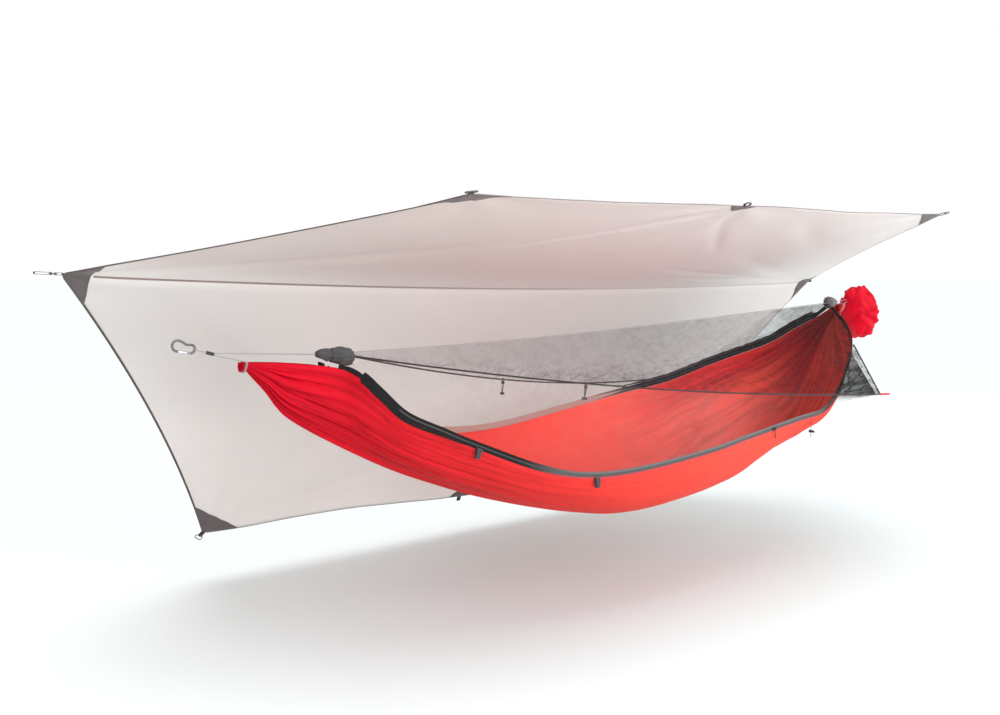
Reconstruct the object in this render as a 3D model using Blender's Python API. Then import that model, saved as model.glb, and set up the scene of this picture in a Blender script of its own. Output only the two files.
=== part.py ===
"""Hammock tent: a gathered-end hammock with an insect net, hung by two carabiners under a hexagonal fly.

+X runs along the hang line from the head to the foot, +Y from the porch side to the wall side, +Z up.
The origin is the middle of the line between the two points where the tree straps bear.
"""

import math

import bmesh
import bpy
from mathutils import Matrix, Vector

for old in list(bpy.data.objects):
    bpy.data.objects.remove(old)

X = Vector((1, 0, 0))
Y = Vector((0, 1, 0))
Z = Vector((0, 0, 1))

# Clearances that every piece shares
GAP = 0.0003
CUT_OVERRUN = 0.004

# Hang line: where the straps bear in the two carabiners, outside the gathers
SUSPENSION_LENGTH = 0.195
HANG_RISE = 0.035
CORD_RISE = 0.012

# Hammock shell
HALF_SPAN = 1.305
GATHER_MEAN_Z = -0.048
GATHER_RISE = 0.040
RIM_HALF_WIDTH = 0.325
RIM_DROP = 0.40
BELLY_DROP = 0.62
BELLY_SHIFT = 0.007
SHELL_THICKNESS = 0.0020
BUNDLE_LENGTH = 0.020
FOLD_HEIGHT = 0.0075
FOLD_COUNT = 3
FOLD_REACH = 0.95
FOLD_ONSET_SHARE = 0.6
SHELL_STEPS = 14
HANG_HALF_SPAN = HALF_SPAN + SUSPENSION_LENGTH

# Rim zips
ZIP_WIDTH = 0.020
ZIP_THICKNESS = 0.0016
SLIDER_LENGTH = 0.016
SLIDER_HEIGHT = 0.011
SLIDER_THICKNESS = 0.004
SLIDER_PLACE_SHARE = 0.36
EAR_RADIUS = 0.0016
PULL_LENGTH = 0.030
PULL_WIDTH = 0.0055
PULL_THICKNESS = 0.0014

# Insect net
NET_THICKNESS = 0.0010
SEAM_RADIUS = 0.0025
SEAM_START_SPREAD = 0.009
CORNER_INSET = 0.398
NEAR_CORNER_WIDTH = 0.42
FAR_CORNER_WIDTH = 0.48
CORNER_DEPTH = 0.300
NEAR_SEAM_SAG = 0.034
FAR_SEAM_SAG = 0.052
CORNER_SPREAD = 0.016
WALL_LIFT = 0.012
WALL_TUCK_SHARE = 3.0
ROOF_SAG = 0.012
ROOF_SAG_HALF_WIDTH = 0.25
SLIT_LENGTH = 0.012
SLIT_WIDTH = 0.014
SLIT_HEIGHT = 0.026

# Cords
CORD_RADIUS = 0.00125
RIDGE_CORD_SAG = 0.022
SAG_LEAN_SHARE = 1.45
WRAP_TURNS = 2
WRAP_PITCH = 0.0032
WRAP_STEPS = 26
EYE_SPREAD_SHARE = 1.6
FERRULE_LENGTH = 0.020
FERRULE_RADIUS = 0.0044
FERRULE_CHAMFER = 0.0010
FERRULE_PLACE = 0.088
CORD_PAIR_OFFSET = 0.0022

# Net caps
HEAD_CAP_LENGTH = 0.105
FOOT_CAP_LENGTH = 0.055
CAP_SMALL_RADIUS = 0.0055
CAP_LARGE_RADIUS = 0.017
CAP_CREASE = 0.0016
CAP_CREASE_COUNT = 5

# Carabiners
CARABINER_LENGTH = 0.058
STRAP_BOW_RADIUS = 0.0130
CORD_BOW_RADIUS = 0.0100
STOCK_RADIUS = 0.0030
GATE_RADIUS = 0.0025
GATE_HINGE_PLACE = 0.0430
GATE_NOSE_PLACE = 0.0170
GATE_TAIL = 0.0018
GATE_PIN_RADIUS = 0.0009
GATE_PIN_CLEARANCE = 0.0003
CHEEK_LENGTH = 0.0100
CHEEK_HEIGHT = 0.0050
CHEEK_THICKNESS = 0.0014

# Fly
RIDGE_LENGTH = 3.35
RIDGE_CENTRE_X = 0.077
RIDGE_Y = 0.445
RIDGE_HEAD_Z = 0.128
RIDGE_FOOT_Z = 0.075
RIDGE_SAG = 0.035
EDGE_LENGTH = 2.17
PANEL_WIDTH = 0.968
PORCH_HEAD_RISE = math.radians(11.0)
PORCH_FOOT_RISE = math.radians(15.2)
WALL_FALL = math.radians(62.4)
END_BOW = 0.040
EDGE_BOW = 0.016
FLY_THICKNESS = 0.0012
RIDGE_CUT = 0.0016
RIDGE_BEAD_RADIUS = 0.0025
RIDGE_GUSSET_DEPTH = 0.078
CORNER_GUSSET_DEPTH = 0.070
EDGE_GUSSET_DEPTH = 0.048
EDGE_GUSSET_HALF_WIDTH = 0.060
TIP_CUT = 0.0070
CREASE_WIDTH = 0.050
CREASE_HEIGHT = 0.006
GUSSET_REACH = 0.42
FLY_COLUMNS = 32
FLY_ROWS = 10

# Webbing tabs and rings
WEBBING_WIDTH = 0.012
WEBBING_THICKNESS = 0.0012
TAB_LENGTH = 0.022
TAB_HALF_GAP = 0.0024
EDGE_TAB_HALF_GAP = 0.0034
PULL_TAB_LENGTH = 0.045
RING_STOCK_RADIUS = 0.0015
RING_END_RADIUS = 0.0070
RING_STRAIGHT = 0.0150

# Stuff sack
SACK_OFFSET = 0.027
SACK_LENGTH = 0.088
SACK_HALF_WIDTH = 0.088
SACK_HALF_HEIGHT = 0.112
SACK_SHIFT_Y = -0.040
SACK_SHIFT_Z = -0.065
SACK_TUNNEL_RADIUS = 0.0085
SACK_TUNNEL_LIFT = 0.005
SACK_CRUMPLE = 0.005
SACK_SWELL_SHARE = 0.04
SACK_MOUTH_SHARE = 0.94

# Toggles and loops
LOOP_WIDTH = 0.006
GEAR_LOOP_LENGTH = 0.034
TOGGLE_LOOP_LENGTH = 0.046
TOGGLE_LENGTH = 0.016
TOGGLE_RADIUS = 0.0042
TOGGLE_CLEARANCE = 0.0005

# Draw cord and lock under the near rim
DRAW_CORD_RADIUS = 0.0008
LOCK_RADIUS = 0.0050
LOCK_LENGTH = 0.014
LOCK_BORE_CLEARANCE = 0.0004
BUTTON_RADIUS = 0.0042
BUTTON_THICKNESS = 0.0025
BUTTON_TRAVEL = 0.0030
BUTTON_STEM_RADIUS = 0.0020
BUTTON_STEM_LENGTH = 0.0040


def material(name, colour, roughness, metallic=0.0):
    mat = bpy.data.materials.new(name)
    mat.use_nodes = True
    shader = mat.node_tree.nodes["Principled BSDF"]
    shader.inputs["Base Color"].default_value = (*colour, 1.0)
    shader.inputs["Roughness"].default_value = roughness
    shader.inputs["Metallic"].default_value = metallic
    return mat


FLY_CLOTH = material("fly_cloth", (0.66, 0.62, 0.59), 0.60)
GUSSET_CLOTH = material("gusset_cloth", (0.11, 0.09, 0.09), 0.70)
WEBBING = material("webbing", (0.045, 0.043, 0.045), 0.80)
RED_CLOTH = material("red_cloth", (0.82, 0.03, 0.035), 0.55)
RED_WEBBING = material("red_webbing", (0.70, 0.04, 0.05), 0.70)
ZIP_TAPE = material("zip_tape", (0.035, 0.033, 0.033), 0.70)
NET = material("net", (0.33, 0.33, 0.35), 0.80)
BLACK_CORD = material("black_cord", (0.03, 0.03, 0.03), 0.70)
GREY_CORD = material("grey_cord", (0.42, 0.42, 0.43), 0.60)
BLACK_PLASTIC = material("black_plastic", (0.02, 0.02, 0.02), 0.40)
STEEL = material("steel", (0.55, 0.56, 0.58), 0.25, 1.0)
GUNMETAL = material("gunmetal", (0.30, 0.31, 0.33), 0.30, 1.0)


def lerp(a, b, t):
    return a + (b - a) * t


def add(name, mesh, mat, smooth=False):
    """Link a mesh, or a bmesh, as the object of that name."""
    if isinstance(mesh, bmesh.types.BMesh):
        bm = mesh
        mesh = bpy.data.meshes.new(name)
        bm.to_mesh(mesh)
        bm.free()
    obj = bpy.data.objects.new(name, mesh)
    bpy.context.collection.objects.link(obj)
    mesh.materials.append(mat)
    if smooth:
        mesh.shade_smooth()
    return obj


def smooth_curve(points, steps=12):
    """Places on one smooth curve through the points, steps of them on each stretch."""
    ends = [2 * points[0] - points[1], *points, 2 * points[-1] - points[-2]]
    curve = []
    for a, b, c, d in zip(ends, ends[1:], ends[2:], ends[3:]):
        for k in range(steps):
            t = k / steps
            bend = (2 * a - 5 * b + 4 * c - d) * t**2 + (3 * b - a - 3 * c + d) * t**3
            curve.append(0.5 * (2 * b + (c - a) * t + bend))
    return [*curve, points[-1].copy()]


def at_x(curve, x):
    """The place where a curve that runs along X passes x."""
    for a, b in zip(curve, curve[1:]):
        if x <= b.x:
            return a.lerp(b, (x - a.x) / (b.x - a.x))
    return curve[-1].lerp(curve[-2], (x - curve[-1].x) / (curve[-2].x - curve[-1].x))


def tangents(path, closed=False):
    if closed:
        return [(path[(i + 1) % len(path)] - path[i - 1]).normalized() for i in range(len(path))]
    ahead = [*path[1:], path[-1]]
    behind = [path[0], *path[:-1]]
    return [(a - b).normalized() for a, b in zip(ahead, behind)]


def join_rings(bm, rings, closed):
    """Faces between neighbouring rings of vertices, with end caps on an open row."""
    pairs = list(zip(rings, rings[1:]))
    if closed:
        pairs.append((rings[-1], rings[0]))
    count = len(rings[0])
    for low, high in pairs:
        for i in range(count):
            j = (i + 1) % count
            bm.faces.new((low[i], low[j], high[j], high[i]))
    if not closed:
        bm.faces.new(rings[0])
        bm.faces.new(rings[-1])
    bmesh.ops.recalc_face_normals(bm, faces=bm.faces[:])


def loft(sections, closed=False):
    """A bmesh through rings of places."""
    bm = bmesh.new()
    join_rings(bm, [[bm.verts.new(place) for place in section] for section in sections], closed)
    return bm


def sweep(path, sides, section, closed=False):
    """A bmesh of a section carried along a path; each side vector is the section's first axis."""
    sections = []
    for place, along, side in zip(path, tangents(path, closed), sides):
        side = (side - along * side.dot(along)).normalized()
        up = along.cross(side)
        sections.append([place + side * p + up * q for p, q in section])
    return loft(sections, closed)


def circle(radius, count):
    return [
        (radius * math.cos(2 * math.pi * k / count), radius * math.sin(2 * math.pi * k / count))
        for k in range(count)
    ]


def rectangle(width, height):
    corners = ((-1, -1), (1, -1), (1, 1), (-1, 1))
    return [(width / 2 * p, height / 2 * q) for p, q in corners]


def cord(name, points, radius, mat, resolution=2):
    """A round tube along the points, with filled ends."""
    curve = bpy.data.curves.new(name, "CURVE")
    curve.dimensions = "3D"
    curve.bevel_depth = radius
    curve.bevel_resolution = resolution
    curve.use_fill_caps = True
    spline = curve.splines.new("POLY")
    spline.points.add(len(points) - 1)
    for target, place in zip(spline.points, points):
        target.co = (*place, 1.0)
    curve.materials.append(mat)
    obj = bpy.data.objects.new(name, curve)
    bpy.context.collection.objects.link(obj)
    return obj


def sheet_mesh(rows):
    """An open bmesh through rows of places."""
    bm = bmesh.new()
    grid = [[bm.verts.new(place) for place in row] for row in rows]
    for low, high in zip(grid, grid[1:]):
        for i in range(len(low) - 1):
            bm.faces.new((low[i], low[i + 1], high[i + 1], high[i]))
    return bm


def thicken(obj, thickness):
    solid = obj.modifiers.new("cloth_thickness", "SOLIDIFY")
    solid.thickness = thickness
    solid.offset = 0.0
    return obj


def solid_sheet(name, rows, thickness, mat):
    return thicken(add(name, sheet_mesh(rows), mat, smooth=True), thickness)


def helper(name, bm):
    """A shape that only serves a Boolean, and isn't a piece."""
    mesh = bpy.data.meshes.new(name)
    bm.to_mesh(mesh)
    bm.free()
    obj = bpy.data.objects.new(name, mesh)
    bpy.context.collection.objects.link(obj)
    obj.hide_render = True
    obj.display_type = "WIRE"
    return obj


def combine(obj, other, operation):
    step = obj.modifiers.new(operation.lower(), "BOOLEAN")
    step.operation = operation
    step.object = other
    step.solver = "EXACT"


def rod(start, end, radius, count=10):
    """A bmesh of a straight round bar between two places."""
    along = (end - start).normalized()
    side = along.orthogonal().normalized()
    return sweep([start, end], [side, side], circle(radius, count))


def block(centre, axes, sizes):
    """A bmesh of a box about a centre, its sides along the three axes."""
    bm = bmesh.new()
    bmesh.ops.create_cube(bm, size=1)
    turn = Matrix([[axis[row] * size for axis, size in zip(axes, sizes)] for row in range(3)]).to_4x4()
    bmesh.ops.transform(bm, matrix=Matrix.Translation(centre) @ turn, verts=bm.verts[:])
    bmesh.ops.recalc_face_normals(bm, faces=bm.faces[:])
    return bm


def loop_of_webbing(base, outward, wide, length, half_gap, width, steps=5):
    """A bmesh of a strip folded into a long loop: it starts at base, runs outward, and is wide along wide."""
    normal = outward.cross(wide).normalized()
    radius = half_gap + WEBBING_THICKNESS / 2
    near = base + outward * (radius + WEBBING_THICKNESS / 2)
    far = base + outward * (length - radius - WEBBING_THICKNESS / 2)
    path = []
    for centre, start in ((far, 0), (near, math.pi)):
        for k in range(steps + 1):
            turn = start + math.pi * k / steps
            path.append(centre + normal * (radius * math.cos(turn)) + outward * (radius * math.sin(turn)))
    return sweep(path, [wide] * len(path), rectangle(width, WEBBING_THICKNESS), closed=True)


def oval(centre, along, across, straight, radius, steps=5):
    """A closed path of two straight runs along an axis, joined by half circles."""
    path = []
    for sign in (1, -1):
        middle = centre + along * (sign * straight / 2)
        for k in range(steps + 1):
            turn = math.pi * k / steps
            place = across * math.cos(turn) + along * math.sin(turn)
            path.append(middle + place * (sign * radius))
    return path


# Hammock guide curves, gather to gather
def gather_z(x):
    """Height of the straight line between the two gathers."""
    return GATHER_MEAN_Z + GATHER_RISE * x / HALF_SPAN


def guide(shares, half_width, drop):
    """A smooth rim or keel: each row is a share of the half span, of the half width and of the drop."""
    return smooth_curve(
        [
            Vector((x * HALF_SPAN, y * half_width, gather_z(x * HALF_SPAN) - z * drop))
            for x, y, z in shares
        ]
    )


# The near rim's straight stretch, on which the slider runs
RUN_START_SHARES = (0.075, 1.0, 0.947)
RUN_END_SHARES = (0.62, 0.79, 0.855)
RUN_STEPS = 4
NEAR_RUN_SHARES = [
    tuple(lerp(a, b, k / RUN_STEPS) for a, b in zip(RUN_START_SHARES, RUN_END_SHARES))
    for k in range(RUN_STEPS + 1)
]
NEAR_RIM_SHARES = [
    (-1.0, 0.04, 0.0),
    (-0.91, 0.08, 0.02),
    (-0.82, 0.15, 0.06),
    (-0.785, 0.26, 0.13),
    (-0.755, 0.33, 0.24),
    (-0.705, 0.41, 0.41),
    (-0.63, 0.50, 0.54),
    (-0.555, 0.57, 0.66),
    (-0.41, 0.74, 0.87),
    (-0.295, 0.86, 0.965),
    (-0.15, 0.955, 0.98),
    *NEAR_RUN_SHARES,
    (0.72, 0.71, 0.73),
    (0.79, 0.64, 0.54),
    (0.85, 0.56, 0.35),
    (0.90, 0.38, 0.22),
    (0.94, 0.16, 0.09),
    (1.0, 0.04, 0.0),
]
FAR_RIM_SHARES = [
    (-1.0, 0.04, 0.0),
    (-0.91, 0.08, 0.02),
    (-0.82, 0.15, 0.06),
    (-0.785, 0.26, 0.12),
    (-0.74, 0.36, 0.20),
    (-0.66, 0.47, 0.41),
    (-0.55, 0.60, 0.60),
    (-0.40, 0.74, 0.74),
    (-0.20, 0.88, 0.80),
    (0.03, 0.97, 0.765),
    (0.28, 0.97, 0.69),
    (0.465, 0.90, 0.63),
    (0.62, 0.78, 0.51),
    (0.71, 0.70, 0.445),
    (0.82, 0.52, 0.34),
    (0.89, 0.32, 0.19),
    (0.94, 0.14, 0.08),
    (1.0, 0.04, 0.0),
]
KEEL_SHARES = [
    (-1.0, 0.0, 0.035),
    (-0.96, 0.0, 0.12),
    (-0.91, 0.0, 0.235),
    (-0.763, 0.0, 0.425),
    (-0.588, 0.0, 0.61),
    (-0.33, 0.0, 0.815),
    (-0.077, 0.0, 0.95),
    (0.16, 0.0, 1.0),
    (0.483, 0.0, 0.96),
    (0.70, 0.0, 0.81),
    (0.802, 0.0, 0.68),
    (0.865, 0.0, 0.49),
    (0.91, 0.0, 0.30),
    (0.955, 0.0, 0.14),
    (1.0, 0.0, 0.045),
]
# How far the sides are drawn flat between keel and rim, by share of the half span
FLATNESS_SHARES = [
    (-1.0, 0.0),
    (-0.1, 0.0),
    (0.12, 0.3),
    (0.33, 0.45),
    (0.48, 0.9),
    (0.70, 1.0),
    (0.85, 0.8),
    (1.0, 0.0),
]
FLATNESS = [Vector((x * HALF_SPAN, 0, flatness)) for x, flatness in FLATNESS_SHARES]
NEAR_RIM = guide(NEAR_RIM_SHARES, -RIM_HALF_WIDTH, RIM_DROP)
FAR_RIM = guide(FAR_RIM_SHARES, RIM_HALF_WIDTH, RIM_DROP)
KEEL = guide(KEEL_SHARES, RIM_HALF_WIDTH, BELLY_DROP)
RIMS = {"near": NEAR_RIM, "far": FAR_RIM}
SIGNS = {"near": -1, "far": 1}
CORNER_WIDTHS = {"near": NEAR_CORNER_WIDTH, "far": FAR_CORNER_WIDTH}
SEAM_SAGS = {"near": NEAR_SEAM_SAG, "far": FAR_SEAM_SAG}
RIM_HALF_BAND = ZIP_WIDTH / 2 + GAP

# Shares of the half span at which the shell, the zips and the net have their cross lines
ZIP_START_SHARE = -0.785
NET_START_SHARE = -0.77
GORE_END_SHARE = 0.83
PULL_END_SHARE = 0.85
ZIP_END_SHARE = 0.935
STATION_SHARES = [
    *(-1.0, -0.98, -0.955, -0.925, -0.89, -0.85, -0.82, -0.80, ZIP_START_SHARE, NET_START_SHARE),
    *(-0.755, -0.735, -0.71, -0.68, -0.64, -0.60, -0.55, -0.49, -0.42, -0.35, -0.28, -0.17, -0.05),
    *(0.075, 0.20, 0.33, 0.45, 0.55, RUN_END_SHARES[0], 0.67, 0.72, 0.76, 0.80),
    *(GORE_END_SHARE, PULL_END_SHARE, 0.87, 0.90, ZIP_END_SHARE, 0.97, 1.0),
]


def stations(start_share, end_share):
    """Places along X of the cross lines between two shares."""
    return [share * HALF_SPAN for share in STATION_SHARES if start_share <= share <= end_share]


NET_START = NET_START_SHARE * HALF_SPAN
ZIP_END = ZIP_END_SHARE * HALF_SPAN


def rim_frame(rim, x):
    """The rim's place at x, its tangent, and the direction across the zip, which leans up."""
    step = ZIP_WIDTH / 4
    along = (at_x(rim, x + step) - at_x(rim, x - step)).normalized()
    return at_x(rim, x), along, (Z - along * Z.dot(along)).normalized()


def rim_edge(rim, x, offset):
    """A place beside the rim, offset across the zip."""
    place, _, across = rim_frame(rim, x)
    return place + across * offset


# Hammock shell: a trough between the zips, drawn into a flat bundle at each gather
def shell_section(x, share):
    """A place on the shell: share runs from -1 at the near zip, over the keel at 0, to 1 at the far zip."""
    inner = max(-HALF_SPAN, min(HALF_SPAN, x))
    low = at_x(KEEL, inner)
    zip_end_share = ZIP_END_SHARE if inner > 0 else -ZIP_START_SHARE
    zipped = min(1.0, (HALF_SPAN - abs(inner)) / (HALF_SPAN * (1 - zip_end_share)))
    high = rim_edge(FAR_RIM if share > 0 else NEAR_RIM, inner, -(RIM_HALF_BAND + GAP) * zipped)
    turn = abs(share) * math.pi / 2
    lean = (high.x - inner) * math.sin(turn) ** 2
    y = BELLY_SHIFT * math.cos(turn) + high.y * math.sin(turn)
    rise = 1 - math.cos(turn)
    rise += (math.sin(turn) - rise) * at_x(FLATNESS, inner).z * (1 - share**4)
    z = low.z + (high.z - low.z) * rise
    from_gather = min(1.0, (HALF_SPAN - abs(inner)) / FOLD_REACH)
    fold = FOLD_HEIGHT * math.sin(math.pi * from_gather**FOLD_ONSET_SHARE) * max(0.0, math.cos(turn)) ** 0.5
    wave = math.sin(math.pi * FOLD_COUNT * share)
    outward = Vector((0, math.sin(turn) * math.copysign(1, share), -math.cos(turn)))
    return Vector((x + lean, y, z)) + outward * (fold * wave)


def build_shell():
    end = HALF_SPAN + BUNDLE_LENGTH
    xs = [-end, *stations(-1, 1), end]
    shares = [2 * k / SHELL_STEPS - 1 for k in range(SHELL_STEPS + 1)]
    rows = [[shell_section(x, share) for share in shares] for x in xs]
    solid_sheet("hammock_shell", rows, SHELL_THICKNESS, RED_CLOTH)


# Rim zips: two tapes that join the shell to the net
def build_zips():
    for side, rim in RIMS.items():
        sections = []
        for x in stations(ZIP_START_SHARE, ZIP_END_SHARE):
            place, along, across = rim_frame(rim, x)
            normal = along.cross(across)
            sections.append([place + across * p + normal * q for p, q in rectangle(ZIP_WIDTH, ZIP_THICKNESS)])
        add(f"{side}_zip", loft(sections), ZIP_TAPE)


# Zip slider and its pull, outside the near rim's straight stretch
def build_slider():
    place, along, across = rim_frame(NEAR_RIM, SLIDER_PLACE_SHARE * HALF_SPAN)
    outward = along.cross(across)
    if outward.y > 0:
        outward = -outward
    centre = place + outward * (ZIP_THICKNESS / 2 + GAP + SLIDER_THICKNESS / 2)
    body = block(centre, (along, across, outward), (SLIDER_LENGTH, SLIDER_HEIGHT, SLIDER_THICKNESS))
    bmesh.ops.bevel(
        body,
        geom=body.edges[:],
        offset=SLIDER_THICKNESS / 6,
        segments=1,
        affect="EDGES",
        profile=0.5,
        material=-1,
    )
    slider = add("zip_slider", body, BLACK_PLASTIC)
    pin_centre = centre + outward * (SLIDER_THICKNESS / 2 + EAR_RADIUS + PULL_THICKNESS)
    half_pin = PULL_WIDTH / 2 + GAP + EAR_RADIUS
    pin = rod(pin_centre - along * half_pin, pin_centre + along * half_pin, EAR_RADIUS / 2)
    combine(slider, helper("ear_pin", pin), "UNION")
    ear_height = SLIDER_THICKNESS / 2 + EAR_RADIUS + PULL_THICKNESS + EAR_RADIUS
    for sign in (-1, 1):
        ear_side = sign * (PULL_WIDTH / 2 + GAP + EAR_RADIUS / 2)
        ear_centre = centre + along * ear_side + outward * (ear_height / 2)
        ear = block(ear_centre, (along, across, outward), (EAR_RADIUS, 2 * EAR_RADIUS, ear_height))
        combine(slider, helper("ear", ear), "UNION")
    down = -Z
    eye = EAR_RADIUS / 2 + GAP + PULL_THICKNESS / 2
    bar_top = pin_centre + down * (eye + PULL_THICKNESS / 2 - GAP)
    bar = block(
        bar_top + down * (PULL_LENGTH / 2),
        (along, down.cross(along), down),
        (PULL_WIDTH, PULL_THICKNESS, PULL_LENGTH),
    )
    pull = add("zip_pull", bar, BLACK_PLASTIC)
    ring_path = [pin_centre + down * p + down.cross(along) * q for p, q in circle(eye, 12)]
    eye_section = rectangle(PULL_WIDTH - GAP, PULL_THICKNESS)
    ring = sweep(ring_path, [along] * len(ring_path), eye_section, closed=True)
    combine(pull, helper("pull_eye", ring), "UNION")
    return pin_centre


# Ridge cord: from ferrule to ferrule through both caps, in the fold of the roof
def ridge_cord_place(x):
    """A place on the cord over the net, which hangs a little below straight."""
    share = (x + HALF_SPAN) / (2 * HALF_SPAN)
    sag = RIDGE_CORD_SAG * 4 * share * (1 - share) * (SAG_LEAN_SHARE - share)
    return Vector((x, 0, gather_z(x) + CORD_RISE - sag))


# Net seams, pull-out edges and pull-out tabs
def corner_place(side):
    """Where a pull-out tab draws the net sideways."""
    return Vector((HALF_SPAN - CORNER_INSET, SIGNS[side] * CORNER_WIDTHS[side], -CORNER_DEPTH))


def seam_place(side, share):
    """A place on a net seam, from the head cap at 0 to the pull-out corner at 1."""
    start = ridge_cord_place(NET_START) + (Y * SIGNS[side] - Z) * SEAM_START_SPREAD
    return start.lerp(corner_place(side), share) - Z * (SEAM_SAGS[side] * 4 * share * (1 - share))


def seam_tangent(side, share):
    step = CORNER_SPREAD / 2
    return (seam_place(side, share + step) - seam_place(side, share - step)).normalized()


def pull_edge_end(side):
    """Where a pull-out edge meets the outer side of the rim zip."""
    place, along, across = rim_frame(RIMS[side], PULL_END_SHARE * HALF_SPAN)
    return place + Y * (SIGNS[side] * (ZIP_THICKNESS + SEAM_RADIUS + GAP)) + across * (ZIP_WIDTH / 2)


def build_seams():
    steps = 28
    for side in RIMS:
        path = [seam_place(side, k / steps) for k in range(steps + 1)]
        cord(f"{side}_net_seam", path, SEAM_RADIUS, BLACK_CORD)
        corner = path[-1]
        outward = (corner - path[-2]).normalized()
        wide = outward.cross(Z).normalized().cross(outward)
        base = corner + outward * GAP
        tab = loop_of_webbing(base, outward, wide, PULL_TAB_LENGTH, EDGE_TAB_HALF_GAP, LOOP_WIDTH)
        add(f"{side}_pull_out_tab", tab, RED_WEBBING)
        reach = pull_edge_end(side) - corner
        start = corner + reach.normalized() * (3 * SEAM_RADIUS)
        end = corner + reach * (1 - CORNER_SPREAD)
        cord(f"{side}_pull_out_edge", [start, start.lerp(end, 0.5), end], SEAM_RADIUS, BLACK_CORD)


# Net roof, from seam to seam over the ridge cord, and down to the zips at the foot
NET_CLEARANCE = SEAM_RADIUS + NET_THICKNESS / 2 + 2 * GAP


def roof_outline(side, x):
    """The roof's outer edge: along the seam to the corner, up the pull-out edge, then along the zip."""
    corner = corner_place(side)
    end = pull_edge_end(side)
    if x > end.x:
        return rim_edge(RIMS[side], x, RIM_HALF_BAND + NET_THICKNESS / 2)
    if x < corner.x:
        share = (x - NET_START) / (corner.x - NET_START)
        place = seam_place(side, share)
        along = seam_tangent(side, share)
    else:
        place = corner.lerp(end, (x - corner.x) / (end.x - corner.x))
        along = (end - corner).normalized()
    inward = ridge_cord_place(x) - place
    inward = (inward - along * inward.dot(along)).normalized()
    return place + inward * NET_CLEARANCE


def build_roof():
    rows = []
    for x in stations(NET_START_SHARE, ZIP_END_SHARE):
        top = ridge_cord_place(x) - Z * (CORD_RADIUS + GAP + NET_THICKNESS / 2)
        halves = {}
        for side in RIMS:
            outer = roof_outline(side, x)
            halves[side] = []
            for part in (0.25, 0.5, 0.75, 1.0):
                sag = ROOF_SAG * 4 * part * (1 - part) * min(1.0, abs(outer.y) / ROOF_SAG_HALF_WIDTH)
                halves[side].append(top.lerp(outer, part) - Z * sag)
        rows.append([*reversed(halves["near"]), top, *halves["far"]])
    roof = solid_sheet("net_roof", rows, NET_THICKNESS, NET)
    for side in RIMS:
        cut_slit(roof, side)


# Net walls, from each zip up to the seam, then round the corner as the foot gore
def build_walls():
    for side in RIMS:
        run = stations(NET_START_SHARE, RUN_END_SHARES[0])
        gore = stations(RUN_END_SHARES[0], GORE_END_SHARE)[1:]
        rows = []
        for x in [*run, *gore]:
            share = min(1.0, (x - run[0]) / (run[-1] - run[0])) * (1 - CORNER_SPREAD)
            part = max(0.0, (x - run[-1]) / (gore[-1] - run[-1]))
            _, _, across = rim_frame(RIMS[side], x)
            low = rim_edge(RIMS[side], x, RIM_HALF_BAND + NET_THICKNESS / 2)
            seam = seam_place(side, share)
            along = seam_tangent(side, share)
            under = (low - seam).normalized() - Z * (WALL_TUCK_SHARE * share**4)
            under = (under - along * under.dot(along)).normalized()
            high = seam + under * NET_CLEARANCE + along * (CORNER_SPREAD * part)
            lifted = low + across * (WALL_LIFT * (1 - part))
            rows.append([cubic(low, lifted, high.lerp(low, 1 / 3), high, m / 5) for m in range(6)])
        wall = solid_sheet(f"{side}_net_wall", rows, NET_THICKNESS, NET)
        cut_slit(wall, side)


def cubic(a, b, c, d, t):
    """A place on the smooth curve from a to d, drawn toward b and c."""
    return a.lerp(b, t).lerp(b.lerp(c, t), t).lerp(b.lerp(c, t).lerp(c.lerp(d, t), t), t)


def cut_slit(net, side):
    """Open the net round the seam where a toggle's loop goes about it."""
    along = seam_tangent(side, TOGGLE_SHARES[side])
    across = along.cross(Z).normalized()
    centre = seam_place(side, TOGGLE_SHARES[side])
    slit = block(centre, (along, across, across.cross(along)), (SLIT_LENGTH, SLIT_WIDTH, SLIT_HEIGHT))
    combine(net, helper(f"{side}_slit", slit), "DIFFERENCE")


# Net caps: the net gathered round the ridge cord at each end
def sleeve(name, path, bore, outer, mat, count=14):
    """A closed body round a path: bore is its hole's radius, outer(share, turn) a place on the outside."""
    bm = bmesh.new()
    along = tangents(path)
    outside = []
    inside = []
    for k, (place, direction) in enumerate(zip(path, along)):
        side = (Y - direction * Y.dot(direction)).normalized()
        up = direction.cross(side)
        turns = [2 * math.pi * m / count for m in range(count)]
        places = [outer(k / (len(path) - 1), turn) for turn in turns]
        outside.append([bm.verts.new(place + side * p + up * q) for p, q in places])
        inside.append([bm.verts.new(place + side * p + up * q) for p, q in circle(bore, count)])
    for rings in (outside, inside):
        for low, high in zip(rings, rings[1:]):
            for i in range(count):
                j = (i + 1) % count
                bm.faces.new((low[i], low[j], high[j], high[i]))
    for end in (0, -1):
        for i in range(count):
            j = (i + 1) % count
            bm.faces.new((outside[end][i], outside[end][j], inside[end][j], inside[end][i]))
    bmesh.ops.recalc_face_normals(bm, faces=bm.faces[:])
    return add(name, bm, mat)


def build_caps():
    steps = 6

    def crumpled(share, turn, flip):
        grow = 1 - share if flip else share
        radius = lerp(CAP_SMALL_RADIUS, CAP_LARGE_RADIUS, grow)
        radius += CAP_CREASE * grow * math.sin(CAP_CREASE_COUNT * turn + 3 * share)
        return radius * math.cos(turn), radius * math.sin(turn)

    starts = {
        "head": (NET_START - HEAD_CAP_LENGTH - 2 * NET_THICKNESS, HEAD_CAP_LENGTH, False),
        "foot": (ZIP_END + GAP, FOOT_CAP_LENGTH, True),
    }
    for end, (start, length, flip) in starts.items():
        path = [ridge_cord_place(start + length * k / steps) for k in range(steps + 1)]
        sleeve(f"{end}_net_cap", path, CORD_RADIUS + 2 * GAP, lambda s, t: crumpled(s, t, flip), NET)


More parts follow.
